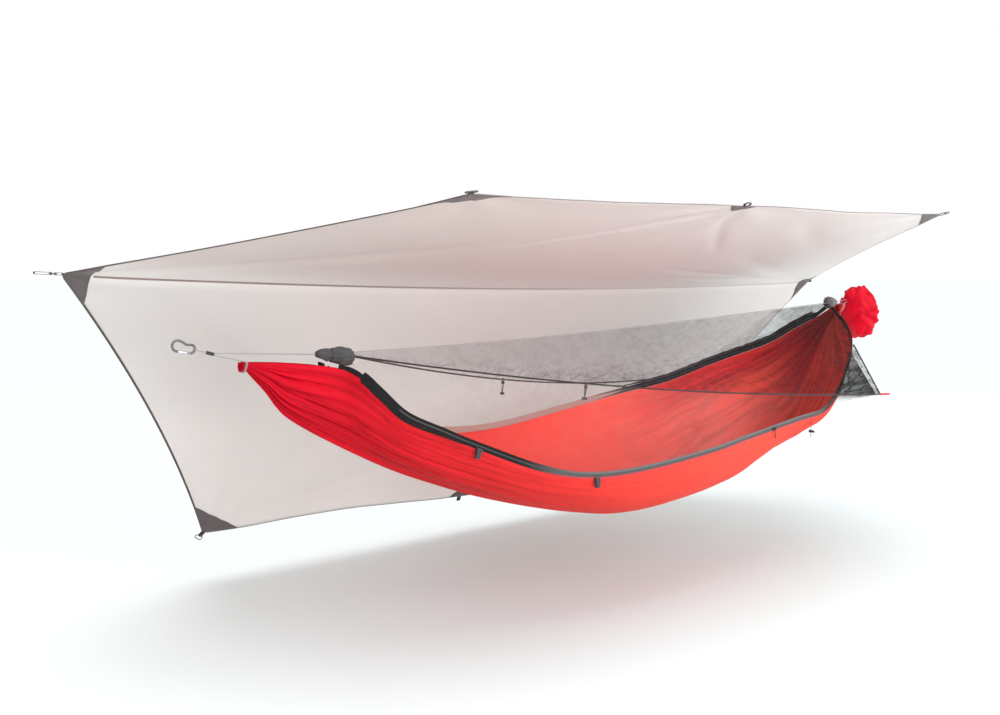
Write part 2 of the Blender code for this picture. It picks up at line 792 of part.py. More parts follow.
# Carabiners, ferrules and cords: the same suspension at each end
def suspension(end):
    """The strap bearing point, the direction to the hammock, and the direction up across it."""
    sign = -1 if end == "head" else 1
    hang = Vector((sign * HANG_HALF_SPAN, 0, sign * HANG_RISE))
    gather = Vector((sign * (HALF_SPAN + BUNDLE_LENGTH), 0, gather_z(sign * HALF_SPAN) + CORD_RISE / 2))
    along = (gather - hang).normalized()
    up = (Z - along * Z.dot(along)).normalized()
    return hang, along, up


def gate_line(a):
    """Half height of the carabiner at a place along it."""
    share = (a - STRAP_BOW_RADIUS) / (CARABINER_LENGTH - STRAP_BOW_RADIUS - CORD_BOW_RADIUS)
    return lerp(STRAP_BOW_RADIUS, CORD_BOW_RADIUS, share)


def build_carabiner(end):
    hang, along, up = suspension(end)
    across = along.cross(up)
    cord_centre = CARABINER_LENGTH - CORD_BOW_RADIUS
    hinge = GATE_HINGE_PLACE
    tail = hinge + GATE_TAIL + GATE_RADIUS / 2 + GAP

    def at(a, b):
        return hang + along * a + up * b

    path = [at(tail, -gate_line(tail))]
    steps = 10
    for k in range(steps + 1):
        turn = math.pi * k / steps - math.pi / 2
        path.append(at(cord_centre + CORD_BOW_RADIUS * math.cos(turn), CORD_BOW_RADIUS * math.sin(turn)))
    for k in range(steps + 1):
        turn = math.pi * k / steps + math.pi / 2
        path.append(at(STRAP_BOW_RADIUS * (1 + math.cos(turn)), STRAP_BOW_RADIUS * math.sin(turn)))
    nose = GATE_NOSE_PLACE
    path.append(at(nose, -gate_line(nose)))
    frame = add(f"{end}_carabiner", sweep(path, [across] * len(path), circle(STOCK_RADIUS, 10)), GUNMETAL)
    pivot = at(hinge, -gate_line(hinge))
    slope = (at(tail, -gate_line(tail)) - at(nose, -gate_line(nose))).normalized()
    rise = across.cross(slope)
    half_span = GATE_RADIUS + GAP + CHEEK_THICKNESS
    for sign in (-1, 1):
        centre = pivot + slope * (CHEEK_LENGTH / 2 - CHEEK_HEIGHT / 2)
        centre += across * (sign * (GATE_RADIUS + GAP + CHEEK_THICKNESS / 2))
        cheek = block(centre, (slope, rise, across), (CHEEK_LENGTH, CHEEK_HEIGHT, CHEEK_THICKNESS))
        combine(frame, helper("cheek", cheek), "UNION")
    pin = rod(pivot - across * (half_span - GAP), pivot + across * (half_span - GAP), GATE_PIN_RADIUS, 12)
    combine(frame, helper("gate_pin", pin), "UNION")
    tip = at(nose, -gate_line(nose)) + slope * GAP
    gate = add(f"{end}_gate", rod(pivot + slope * GATE_TAIL, tip, GATE_RADIUS), STEEL)
    hole_half = across * (GATE_RADIUS + CUT_OVERRUN)
    hole = rod(pivot - hole_half, pivot + hole_half, GATE_PIN_RADIUS + GATE_PIN_CLEARANCE, 12)
    combine(gate, helper("gate_hole", hole), "DIFFERENCE")
    return pivot


def build_suspension(end):
    hang, along, up = suspension(end)
    across = along.cross(up)
    bar = hang + along * CARABINER_LENGTH
    eye = STOCK_RADIUS + 2 * GAP + CORD_RADIUS
    face = hang + along * (FERRULE_PLACE - GAP)
    leg = across * (CORD_RADIUS + GAP)
    spread = leg * EYE_SPREAD_SHARE
    path = [face + leg, face.lerp(bar, 0.5) + spread, bar + across * eye]
    for k in range(1, 8):
        turn = math.pi * k / 8
        path.append(bar + across * (eye * math.cos(turn)) - along * (eye * math.sin(turn)))
    path += [bar - across * eye, face.lerp(bar, 0.5) - spread, face - leg]
    cord(f"{end}_eye_cord", path, CORD_RADIUS, GREY_CORD)

    inner = FERRULE_RADIUS - FERRULE_CHAMFER
    profile = [(0, inner), (FERRULE_CHAMFER, FERRULE_RADIUS)]
    profile += [(FERRULE_LENGTH - FERRULE_CHAMFER, FERRULE_RADIUS), (FERRULE_LENGTH, inner)]
    bm = bmesh.new()
    rings = []
    for distance, radius in profile:
        place = hang + along * (FERRULE_PLACE + distance)
        rings.append([bm.verts.new(place + across * p + up * q) for p, q in circle(radius, 14)])
    join_rings(bm, rings, closed=False)
    add(f"{end}_ferrule", bm, BLACK_PLASTIC)

    build_gather_cord(end)


def ferrule_exit(end, offset):
    """A place just off the ferrule's hammock side, offset up."""
    hang, along, up = suspension(end)
    return hang + along * (FERRULE_PLACE + FERRULE_LENGTH + GAP) + up * offset


def build_gather_cord(end):
    """The cord from the ferrule that winds round the shell's bundle and draws it shut."""
    sign = -1 if end == "head" else 1
    middle = sign * (HALF_SPAN + BUNDLE_LENGTH / 2)
    bundle = [shell_section(middle, 2 * k / SHELL_STEPS - 1) for k in range(SHELL_STEPS + 1)]
    clear = SHELL_THICKNESS / 2 + 2 * GAP + CORD_RADIUS
    over = max(place.z for place in bundle) + clear + CORD_RADIUS
    path = [ferrule_exit(end, -CORD_PAIR_OFFSET), Vector((middle + sign * BUNDLE_LENGTH / 4, 0, over))]
    steps = WRAP_STEPS * WRAP_TURNS
    for k in range(steps):
        turn = math.pi / 2 + 2 * math.pi * WRAP_TURNS * (k + 0.5) / steps
        outward = Vector((0, math.cos(turn), math.sin(turn)))
        drift = sign * WRAP_PITCH * (0.5 * WRAP_TURNS - WRAP_TURNS * k / steps)
        path.append(max(bundle, key=outward.dot) + outward * clear + X * drift)
    cord(f"{end}_gather_cord", path, CORD_RADIUS, GREY_CORD)


def build_ridge_cord():
    steps = 40
    path = [ferrule_exit("head", CORD_PAIR_OFFSET)]
    start = NET_START - HEAD_CAP_LENGTH
    for k in range(steps + 1):
        path.append(ridge_cord_place(lerp(start, ZIP_END + FOOT_CAP_LENGTH, k / steps)))
    path.append(ferrule_exit("foot", CORD_PAIR_OFFSET))
    cord("ridge_cord", path, CORD_RADIUS, GREY_CORD)


# Stuff sack: a crumpled bag drawn over the foot suspension
def build_sack():
    hang, along, up = suspension("foot")
    steps = 12

    def crumpled(share, turn):
        swell = math.sqrt(1 - (SACK_MOUTH_SHARE * (2 * share - 1)) ** 2)
        swell += SACK_SWELL_SHARE * math.sin(3 * turn + 7 * share)
        lump = SACK_CRUMPLE * math.sin(7 * turn + 5 * share) * swell
        p = SACK_SHIFT_Y * swell + (SACK_HALF_WIDTH * swell + lump) * math.cos(turn)
        q = SACK_SHIFT_Z * swell + (SACK_HALF_HEIGHT * swell + lump) * math.sin(turn)
        return p, q

    path = []
    start = HALF_SPAN + BUNDLE_LENGTH + SACK_OFFSET
    for k in range(steps + 1):
        share = k / steps
        place = hang + along * ((hang.x - start - SACK_LENGTH * share) / -along.x)
        path.append(place + Z * (SACK_TUNNEL_LIFT * (1 - share)))
    sleeve("stuff_sack", path, SACK_TUNNEL_RADIUS, crumpled, RED_CLOTH, 20)


# Gear loops, net toggles, and the draw cord with its lock
GEAR_LOOP_SHARES = {"head": -0.55, "mid": -0.28}
GEAR_LOOP_TILT = 0.25
TOGGLE_SHARES = {"near": 0.375, "far": 0.36}
DRAW_CORD_PLACE_SHARE = 0.552
DRAW_CORD_FALL = 0.066
LOCK_FALL = 0.044


def build_gear_loops():
    for place, share in GEAR_LOOP_SHARES.items():
        point, along, across = rim_frame(NEAR_RIM, share * HALF_SPAN)
        outward = along.cross(across)
        if outward.y > 0:
            outward = -outward
        half_loop = EDGE_TAB_HALF_GAP + WEBBING_THICKNESS
        clear = ZIP_THICKNESS / 2 + GAP + half_loop * (1 - GEAR_LOOP_TILT)
        start = point + outward * clear + across * (ZIP_WIDTH / 4)
        down = (outward * GEAR_LOOP_TILT - across).normalized()
        loop = loop_of_webbing(start, down, along, GEAR_LOOP_LENGTH, EDGE_TAB_HALF_GAP, LOOP_WIDTH)
        add(f"{place}_gear_loop", loop, WEBBING)


def build_toggles():
    for side, share in TOGGLE_SHARES.items():
        along = seam_tangent(side, share)
        down = (-Z + along * Z.dot(along)).normalized()
        half_gap = SEAM_RADIUS + TOGGLE_CLEARANCE
        start = seam_place(side, share) - down * (half_gap + WEBBING_THICKNESS)
        loop = loop_of_webbing(start, down, along, TOGGLE_LOOP_LENGTH, half_gap, LOOP_WIDTH)
        toggle = add(f"{side}_toggle", loop, BLACK_PLASTIC)
        foot = start + down * (TOGGLE_LOOP_LENGTH + TOGGLE_RADIUS / 2)
        half = along * (TOGGLE_LENGTH / 2)
        barrel = rod(foot - half, foot + half, TOGGLE_RADIUS, 12)
        combine(toggle, helper("toggle_barrel", barrel), "UNION")


def build_draw_cord():
    point, _, across = rim_frame(NEAR_RIM, DRAW_CORD_PLACE_SHARE * HALF_SPAN)
    top = point - across * (ZIP_WIDTH / 2 + 2 * GAP) - Y * (SHELL_THICKNESS / 2 + DRAW_CORD_RADIUS + GAP)
    steps = 8
    path = [top - Z * (DRAW_CORD_FALL * k / steps) for k in range(steps + 1)]
    cord("draw_cord", path, DRAW_CORD_RADIUS, BLACK_CORD)
    centre = top - Z * LOCK_FALL
    face = -Y
    half = LOCK_LENGTH / 2
    lock = add("cord_lock", rod(centre - face * half, centre + face * half, LOCK_RADIUS, 16), BLACK_PLASTIC)
    bore_half = Z * (LOCK_RADIUS + CUT_OVERRUN)
    bore = rod(centre - bore_half, centre + bore_half, DRAW_CORD_RADIUS + LOCK_BORE_CLEARANCE, 10)
    combine(lock, helper("lock_bore", bore), "DIFFERENCE")
    mouth = centre + face * half
    pocket = rod(mouth - face * BUTTON_STEM_LENGTH, mouth + face * CUT_OVERRUN, BUTTON_STEM_RADIUS + GAP, 12)
    combine(lock, helper("stem_pocket", pocket), "DIFFERENCE")
    base = mouth + face * (BUTTON_TRAVEL + GAP)
    button = add("lock_button", rod(base, base + face * BUTTON_THICKNESS, BUTTON_RADIUS, 16), BLACK_PLASTIC)
    stem_end = mouth - face * (BUTTON_STEM_LENGTH - BUTTON_TRAVEL - GAP)
    stem = rod(stem_end, base + face * (BUTTON_THICKNESS / 2), BUTTON_STEM_RADIUS, 12)
    combine(button, helper("button_stem", stem), "UNION")
    return mouth


# Fly
CREASE_SHARES = [
    (-0.95, -0.04, -0.45, -0.55, 1.0),
    (-0.90, 0.05, -0.55, 0.60, 1.0),
    (0.95, -0.04, 0.40, -0.50, 0.8),
    (0.30, -0.95, 0.75, -0.55, 0.7),
    (-0.95, 0.95, -0.30, 0.45, 1.0),
    (0.05, 0.97, -0.35, 0.60, 0.8),
    (0.90, 0.95, 0.35, 0.45, 0.8),
]
CORNER_STEP_SHARE = 0.05


def fly_point(u, v):
    """A place on the fly: u runs from -1, the head, to 1, the foot, and v from -1, the porch, to 1, the wall."""
    share = abs(v)
    half = lerp(RIDGE_LENGTH, EDGE_LENGTH, share) / 2 - END_BOW * 4 * share * (1 - share)
    x = RIDGE_CENTRE_X + u * half
    z = lerp(RIDGE_HEAD_Z, RIDGE_FOOT_Z, (u + 1) / 2) - RIDGE_SAG * (1 - u * u) * (1 - share)
    reach = PANEL_WIDTH * share - EDGE_BOW * share**2 * math.sin(math.pi * abs(u)) ** 2
    turn = lerp(PORCH_HEAD_RISE, PORCH_FOOT_RISE, (u + 1) / 2) if v < 0 else -WALL_FALL
    sign = -1 if v < 0 else 1
    lift = 0
    for u0, v0, u1, v1, height_share in CREASE_SHARES:
        if v0 * v > 0:
            start = Vector((u0 * half, v0 * PANEL_WIDTH))
            end = Vector((u1 * half, v1 * PANEL_WIDTH))
            here = Vector((u * half, v * PANEL_WIDTH))
            t = max(0.0, min(1.0, (here - start).dot(end - start) / (end - start).length_squared))
            distance = (here - start.lerp(end, t)).length
            profile = math.sin(math.pi * t) * math.exp(-((distance / CREASE_WIDTH) ** 2))
            lift += CREASE_HEIGHT * height_share * profile
    place = Vector((x, RIDGE_Y + sign * reach * math.cos(turn), z + reach * math.sin(turn)))
    return place + Vector((0, -math.sin(turn) * sign, math.cos(turn))) * lift


def fly_sheet():
    """The whole fly as one open sheet, porch edge to wall edge."""
    rows = []
    for m in range(-FLY_ROWS, FLY_ROWS + 1):
        rows.append([fly_point(2 * k / FLY_COLUMNS - 1, m / FLY_ROWS) for k in range(FLY_COLUMNS + 1)])
    return sheet_mesh(rows)


def corner_frame(u, v):
    """A fly corner's place, its outward direction and the direction across it, both in the sheet."""
    step = CORNER_STEP_SHARE
    place = fly_point(u, v)
    if v == 0:
        outward = (place - fly_point(u * (1 - step), 0)).normalized()
        return place, outward, Y.copy()
    if abs(u) < 1:
        inward = (fly_point(u, v * (1 - step)) - place).normalized()
        return place, -inward, X.copy()
    along_edge = (fly_point(u * (1 - step), v) - place).normalized()
    along_end = (fly_point(u, v * (1 - step)) - place).normalized()
    outward = -(along_edge + along_end).normalized()
    normal = along_edge.cross(along_end).normalized()
    return place, outward, outward.cross(normal).normalized()


CORNERS = {
    "head": (-1, 0),
    "foot": (1, 0),
    "near_head": (-1, -1),
    "near_mid": (-0.06, -1),
    "near_foot": (1, -1),
    "far_head": (-1, 1),
    "far_mid": (0, 1),
    "far_foot": (1, 1),
}


def gusset_planes(name, offset):
    """The planes, as places and outward normals of the gusset, that part it from the panel."""
    u, v = CORNERS[name]
    place, outward, wide = corner_frame(u, v)
    if abs(u) < 1:
        planes = []
        tip = place - outward * (EDGE_GUSSET_DEPTH + offset)
        for sign in (-1, 1):
            base = place + wide * (sign * (EDGE_GUSSET_HALF_WIDTH + offset))
            edge = (base - tip).normalized()
            normal = edge.cross(outward.cross(wide))
            if normal.dot(wide) * sign < 0:
                normal = -normal
            planes.append((tip, normal.normalized()))
        return place, planes
    depth = RIDGE_GUSSET_DEPTH if v == 0 else CORNER_GUSSET_DEPTH
    return place, [(place - outward * (depth + offset), -outward)]


def cut(bm, place, planes, keep_inside, reach):
    """Part the sheet at the planes near a place, and keep what is inside them all, or the rest."""
    for plane_place, normal in planes:
        near = [f for f in bm.faces if (f.calc_center_median() - place).length < reach]
        geom = {e for f in near for e in f.edges} | {v for f in near for v in f.verts} | set(near)
        bmesh.ops.bisect_plane(bm, geom=list(geom), dist=GAP / 30, plane_co=plane_place, plane_no=normal)
    drop = []
    for face in bm.faces:
        centre = face.calc_center_median()
        inside = (centre - place).length < reach
        inside = inside and all((centre - p).dot(n) < 0 for p, n in planes)
        if inside != keep_inside:
            drop.append(face)
    bmesh.ops.delete(bm, geom=drop, context="FACES")


def trim(bm, name):
    """Take off the point of a corner, where the webbing is sewn."""
    u, v = CORNERS[name]
    place, outward, _ = corner_frame(u, v)
    if abs(u) == 1:
        cut(bm, place, [(place - outward * TIP_CUT, -outward)], False, GUSSET_REACH)


def build_gussets():
    for name in CORNERS:
        bm = fly_sheet()
        place, planes = gusset_planes(name, 0)
        cut(bm, place, planes, True, GUSSET_REACH)
        trim(bm, name)
        thicken(add(f"{name}_gusset", bm, GUSSET_CLOTH), FLY_THICKNESS)


def build_panels():
    for name, sign in (("porch_panel", -1), ("wall_panel", 1)):
        bm = fly_sheet()
        edge = Vector((0, RIDGE_Y + sign * RIDGE_CUT, 0))
        bmesh.ops.bisect_plane(
            bm,
            geom=[*bm.verts, *bm.edges, *bm.faces],
            dist=GAP / 30,
            plane_co=edge,
            plane_no=Y * -sign,
            clear_outer=True,
        )
        for corner, (_, v) in CORNERS.items():
            if v * sign >= 0:
                place, planes = gusset_planes(corner, GAP)
                cut(bm, place, planes, False, GUSSET_REACH)
        thicken(add(name, bm, FLY_CLOTH, smooth=True), FLY_THICKNESS)


def build_ridge_bead():
    """The rolled seam under the ridge, from gusset to gusset, in the angle between the panels."""
    rise = (PORCH_HEAD_RISE + PORCH_FOOT_RISE) / 2
    bisector = Vector((0, math.cos(WALL_FALL) - math.cos(rise), math.sin(rise) - math.sin(WALL_FALL)))
    bisector.normalize()
    half_angle = (math.pi - rise - WALL_FALL) / 2
    drop = (RIDGE_BEAD_RADIUS + FLY_THICKNESS / 2 + GAP) / math.sin(half_angle)
    steps = 32
    inset = (RIDGE_GUSSET_DEPTH + TIP_CUT) / (RIDGE_LENGTH / 2)
    path = []
    for k in range(steps + 1):
        u = lerp(inset - 1, 1 - inset, k / steps)
        path.append(fly_point(u, 0) + bisector * drop)
    cord("ridge_seam", path, RIDGE_BEAD_RADIUS, WEBBING)


# Webbing tabs at the gussets, and the rings in them
RINGED = ("head", "near_head", "near_foot", "far_head", "far_foot")


def tab_frame(name):
    """Where a corner's webbing starts, its outward direction and its width direction."""
    u, v = CORNERS[name]
    place, outward, wide = corner_frame(u, v)
    tip = TIP_CUT if abs(u) == 1 else 0
    return place + outward * (GAP - tip), outward, wide


def ring_bar(name):
    """Centre of the ring's bar that lies in the webbing."""
    start, outward, _ = tab_frame(name)
    return start + outward * (TAB_LENGTH - WEBBING_THICKNESS - TAB_HALF_GAP)


def build_tabs():
    for name in CORNERS:
        start, outward, wide = tab_frame(name)
        half_gap = TAB_HALF_GAP if name in RINGED else EDGE_TAB_HALF_GAP
        loop = loop_of_webbing(start, outward, wide, TAB_LENGTH, half_gap, WEBBING_WIDTH)
        add(f"{name}_tab", loop, WEBBING)
    for name in RINGED:
        start, outward, wide = tab_frame(name)
        bar = ring_bar(name)
        centre = bar + outward * RING_END_RADIUS
        path = oval(centre, wide, outward, RING_STRAIGHT, RING_END_RADIUS)
        normal = wide.cross(outward)
        wire = sweep(path, [normal] * len(path), circle(RING_STOCK_RADIUS, 8), closed=True)
        add(f"{name}_ring", wire, STEEL)
    start, outward, wide = tab_frame("head")
    outer_bar = ring_bar("head") + outward * (2 * RING_END_RADIUS)
    pull = outer_bar - outward * (TAB_HALF_GAP + WEBBING_THICKNESS)
    add(
        "ridge_pull_tab",
        loop_of_webbing(pull, outward, wide, PULL_TAB_LENGTH, TAB_HALF_GAP, WEBBING_WIDTH),
        WEBBING,
    )


def hang_on(name, place, pieces, carrier=None):
    """Parent pieces to an empty on the axis that they turn about, and the empty to what carries it."""
    pivot = bpy.data.objects.new(name, None)
    bpy.context.collection.objects.link(pivot)
    pivot.location = place if carrier is None else place - carrier.matrix_world.translation
    pivot.parent = carrier
    bpy.context.view_layer.update()
    for piece in pieces:
        moved = bpy.data.objects[piece]
        moved.parent = pivot
        moved.location = -place
    return pivot


build_shell()
build_zips()
pull_pin = build_slider()
build_seams()
build_roof()
build_walls()
build_caps()
build_ridge_cord()
gate_pivots = {}
for hung_end in ("head", "foot"):
    gate_pivots[hung_end] = build_carabiner(hung_end)
    build_suspension(hung_end)
build_sack()
build_gear_loops()
build_toggles()
lock_mouth = build_draw_cord()
fixed_names = [f"{hung_end}_carabiner" for hung_end in gate_pivots]
gate_names = [f"{hung_end}_gate" for hung_end in gate_pivots]
toggle_names = [f"{side}_toggle" for side in RIMS]
own_pivot_names = [*fixed_names, *gate_names, *toggle_names, "zip_slider", "zip_pull", "lock_button"]
swung = [o.name for o in bpy.data.objects if not o.hide_render and o.name not in own_pivot_names]
eyes = [suspension(hung_end)[0] + suspension(hung_end)[1] * CARABINER_LENGTH for hung_end in gate_pivots]

# Each moving group hangs on the axis that it turns or slides on
hammock = hang_on("hammock_pivot", (eyes[0] + eyes[1]) / 2, swung)
for hung_end, place in gate_pivots.items():
    hang_on(f"{hung_end}_gate_pivot", place, [f"{hung_end}_gate"])
for side, share in TOGGLE_SHARES.items():
    hang_on(f"{side}_toggle_pivot", seam_place(side, share), [f"{side}_toggle"], hammock)
slider_place = at_x(NEAR_RIM, SLIDER_PLACE_SHARE * HALF_SPAN)
slider_pivot = hang_on("slider_pivot", slider_place, ["zip_slider"], hammock)
hang_on("pull_pivot", pull_pin, ["zip_pull"], slider_pivot)
hang_on("button_pivot", lock_mouth, ["lock_button"], hammock)

build_panels()
build_gussets()
build_ridge_bead()
build_tabs()
for ringed in RINGED:
    ring_pivot = hang_on(f"{ringed}_ring_pivot", ring_bar(ringed), [f"{ringed}_ring"])
    if ringed == "head":
        outer_bar = ring_bar(ringed) + tab_frame(ringed)[1] * (2 * RING_END_RADIUS)
        hang_on("ridge_pull_pivot", outer_bar, ["ridge_pull_tab"], ring_pivot)
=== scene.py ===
"""The look of a hammock tent: a gathered hammock with an insect net, hung by two carabiners under a fly."""

import bisect
import functools
import math

import bmesh
import bpy
from mathutils import Matrix, Vector, noise


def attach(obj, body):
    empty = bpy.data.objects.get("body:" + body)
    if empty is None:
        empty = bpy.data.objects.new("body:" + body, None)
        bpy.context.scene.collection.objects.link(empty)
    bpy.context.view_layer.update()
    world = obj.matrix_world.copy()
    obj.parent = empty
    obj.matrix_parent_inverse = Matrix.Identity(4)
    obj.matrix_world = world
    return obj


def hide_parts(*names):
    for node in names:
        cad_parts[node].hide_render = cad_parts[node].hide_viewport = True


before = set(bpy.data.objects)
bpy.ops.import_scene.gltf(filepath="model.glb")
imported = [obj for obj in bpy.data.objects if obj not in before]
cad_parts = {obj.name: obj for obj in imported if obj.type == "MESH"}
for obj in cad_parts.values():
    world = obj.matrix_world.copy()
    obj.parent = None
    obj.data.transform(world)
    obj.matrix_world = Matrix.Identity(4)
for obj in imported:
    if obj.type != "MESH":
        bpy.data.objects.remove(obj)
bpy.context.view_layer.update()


# Camera: it stands off the head end on the porch side, a little above the hang line, and looks
# slightly down.
CAMERA_PLACE = (-2.617, -2.472, 0.156)
CAMERA_DIP = 4.855
CAMERA_HEADING = -40.79
CAMERA_LENS = 40
CAMERA_SENSOR = 36


def new_object(name, data):
    """An object in the scene."""
    obj = bpy.data.objects.new(name, data)
    bpy.context.scene.collection.objects.link(obj)
    return obj


camera_data = bpy.data.cameras.new("studio_camera")
camera_data.lens = CAMERA_LENS
camera_data.sensor_width = CAMERA_SENSOR
camera = new_object("studio_camera", camera_data)
camera.location = CAMERA_PLACE
camera.rotation_euler = (math.radians(90 - CAMERA_DIP), 0, math.radians(CAMERA_HEADING))
bpy.context.scene.camera = camera


# Studio: a white floor and backdrop that keep the object's shadow, and even light from overhead
# and the front. The floor is a little less red under the hammock, whose cloth throws red light on it.
FLOOR_HEIGHT = -0.90
FLOOR_SIZE = 60
FLOOR_COLOUR = (0.85, 0.89, 0.89, 1)
RED_GLOW_CENTRE = (0.35, -0.05)
RED_GLOW_REACH = (1.25, 0.75)
RED_GLOW_SHARE = 0.16
ROOM_LIGHT = 0.83
OVERHEAD_STRENGTH = 0.95
OVERHEAD_SPREAD = 50
SOFT_LIGHTS = {
    "front": (Vector((0.3, -4.4, 1.6)), 3.2, 78),
    "low_front": (Vector((-1.0, -3.9, -0.45)), 2.6, 76),
    "foot_side": (Vector((3.6, -2.9, 0.5)), 2.4, 30),
}


def maths(tree, operation, *values):
    """One sum on one to three values, each a number or another node's socket."""
    node = tree.nodes.new("ShaderNodeMath")
    node.operation = operation
    for socket, value in zip(node.inputs, values):
        if isinstance(value, bpy.types.NodeSocket):
            tree.links.new(value, socket)
        else:
            socket.default_value = value
    return node.outputs[0]


def inverse(tree, value):
    """What is left of one."""
    return maths(tree, "SUBTRACT", 1.0, value)


def seen_directly(tree):
    """One where a ray comes from the camera, or through gloss or glass, and nought for other light."""
    path = tree.nodes.new("ShaderNodeLightPath")
    gloss = maths(tree, "MAXIMUM", path.outputs["Is Glossy Ray"], path.outputs["Is Transmission Ray"])
    return maths(tree, "MAXIMUM", path.outputs["Is Camera Ray"], gloss)


world = bpy.data.worlds.new("studio")
world.use_nodes = True
bpy.context.scene.world = world
room = world.node_tree
backdrop = room.nodes["Background"]
backdrop.inputs["Color"].default_value = (1, 1, 1, 1)
room_strength = maths(room, "MULTIPLY_ADD", seen_directly(room), 1 - ROOM_LIGHT, ROOM_LIGHT)
room.links.new(room_strength, backdrop.inputs["Strength"])

floor_paint = bpy.data.materials.new("floor_paint")
floor_paint.use_nodes = True
floor_tree = floor_paint.node_tree
floor_shader = floor_tree.nodes["Principled BSDF"]
floor_shader.inputs["Roughness"].default_value = 1.0
floor_shader.inputs["Specular IOR Level"].default_value = 0.0
floor_place = floor_tree.nodes.new("ShaderNodeTexCoord")
floor_parts = floor_tree.nodes.new("ShaderNodeSeparateXYZ")
floor_tree.links.new(floor_place.outputs["Object"], floor_parts.inputs[0])
reach = 0.0
for part, centre, spread in zip(floor_parts.outputs, RED_GLOW_CENTRE, RED_GLOW_REACH):
    share = maths(floor_tree, "DIVIDE", maths(floor_tree, "SUBTRACT", part, centre), spread)
    reach = maths(floor_tree, "MULTIPLY_ADD", share, share, reach)
glow = maths(floor_tree, "POWER", math.e, maths(floor_tree, "MULTIPLY", reach, -1.0))
red_part = maths(floor_tree, "MULTIPLY_ADD", glow, -RED_GLOW_SHARE * FLOOR_COLOUR[0], FLOOR_COLOUR[0])
floor_mix = floor_tree.nodes.new("ShaderNodeCombineXYZ")
floor_tree.links.new(red_part, floor_mix.inputs[0])
floor_mix.inputs[1].default_value = FLOOR_COLOUR[1]
floor_mix.inputs[2].default_value = FLOOR_COLOUR[2]
floor_tree.links.new(floor_mix.outputs[0], floor_shader.inputs["Base Color"])
floor_shape = bmesh.new()
bmesh.ops.create_grid(floor_shape, x_segments=1, y_segments=1, size=FLOOR_SIZE)
bmesh.ops.translate(floor_shape, verts=floor_shape.verts[:], vec=(0, 0, FLOOR_HEIGHT))
floor_mesh = bpy.data.meshes.new("floor")
floor_shape.to_mesh(floor_mesh)
floor_shape.free()
floor_mesh.materials.append(floor_paint)
floor = new_object("floor", floor_mesh)

overhead_data = bpy.data.lights.new("overhead", "SUN")
overhead_data.energy = OVERHEAD_STRENGTH
overhead_data.angle = math.radians(OVERHEAD_SPREAD)
new_object("overhead", overhead_data)

for light_name, (light_place, light_size, power) in SOFT_LIGHTS.items():
    light_data = bpy.data.lights.new(light_name, "AREA")
    light_data.energy = power
    light_data.size = light_size
    light = new_object(light_name, light_data)
    light.location = light_place
    light.rotation_euler = (-light_place).to_track_quat("-Z", "Y").to_euler()

bpy.context.scene.view_settings.view_transform = "Standard"


# Fly cloth: two coated ripstop panels sewn together along the ridge, pitched flat on the porch side
# and steep on the wall side. It is pulled at eight corners and edge points, so long shallow creases
# run in from them.
RIDGE_LENGTH = 3.35
RIDGE_CENTRE_X = 0.077
RIDGE_Y = 0.445
RIDGE_HEAD_Z = 0.128
RIDGE_FOOT_Z = 0.075
RIDGE_SAG = 0.035
EDGE_LENGTH = 2.17
PANEL_WIDTH = 0.968
PORCH_HEAD_RISE = math.radians(11.0)
PORCH_FOOT_RISE = math.radians(15.2)
WALL_FALL = math.radians(62.4)
END_BOW = 0.040
EDGE_BOW = 0.016
FLY_THICKNESS = 0.0010
CREASE_HEIGHT = 0.009
CREASE_SHARES = [
    (-0.95, -0.04, -0.45, -0.55, 1.0, 0.050),
    (-0.90, 0.05, -0.55, 0.60, 1.0, 0.050),
    (0.95, -0.04, 0.40, -0.50, 0.8, 0.050),
    (0.93, -0.03, 0.30, -0.16, 0.90, 0.016),
    (0.90, -0.04, 0.20, -0.30, 0.90, 0.020),
    (0.30, -0.95, 0.75, -0.55, 0.7, 0.050),
    (-0.06, -0.96, -0.45, -0.50, 0.80, 0.020),
    (-0.06, -0.96, 0.35, -0.45, 0.80, 0.020),
    (-0.95, 0.95, -0.30, 0.45, 1.0, 0.050),
    (-0.90, 0.98, -0.12, 0.74, 1.00, 0.018),
    (-0.82, 0.99, -0.08, 0.83, 0.80, 0.014),
    (0.05, 0.97, -0.35, 0.60, 0.8, 0.050),
    (0.90, 0.95, 0.35, 0.45, 0.8, 0.050),
]
CORNER_SHARES = {
    "head": (-1, 0),
    "foot": (1, 0),
    "near_head": (-1, -1),
    "near_mid": (-0.06, -1),
    "near_foot": (1, -1),
    "far_head": (-1, 1),
    "far_mid": (0, 1),
    "far_foot": (1, 1),
}
RUFFLE_HEIGHT = 0.0040
RUFFLE_REACH = 0.30
RUFFLE_COUNT = 9
SLACK_WAVES = [(2.1, 3.3, 1.0, 1.0), (5.0, 8.0, 4.0, 0.5)]
FLY_COLUMNS = 200
FLY_ROWS = 120


def lerp(a, b, t):
    """The value a share t of the way from a to b."""
    return a + (b - a) * t


def fly_half_length(share):
    """Half the fly's length at a share of the way from the ridge to an edge."""
    return lerp(RIDGE_LENGTH, EDGE_LENGTH, share) / 2 - END_BOW * 4 * share * (1 - share)


@functools.cache
def fly_corner_flat(name):
    """A corner's place on the flat fly."""
    u, v = CORNER_SHARES[name]
    return Vector((u * fly_half_length(abs(v)), v * PANEL_WIDTH))


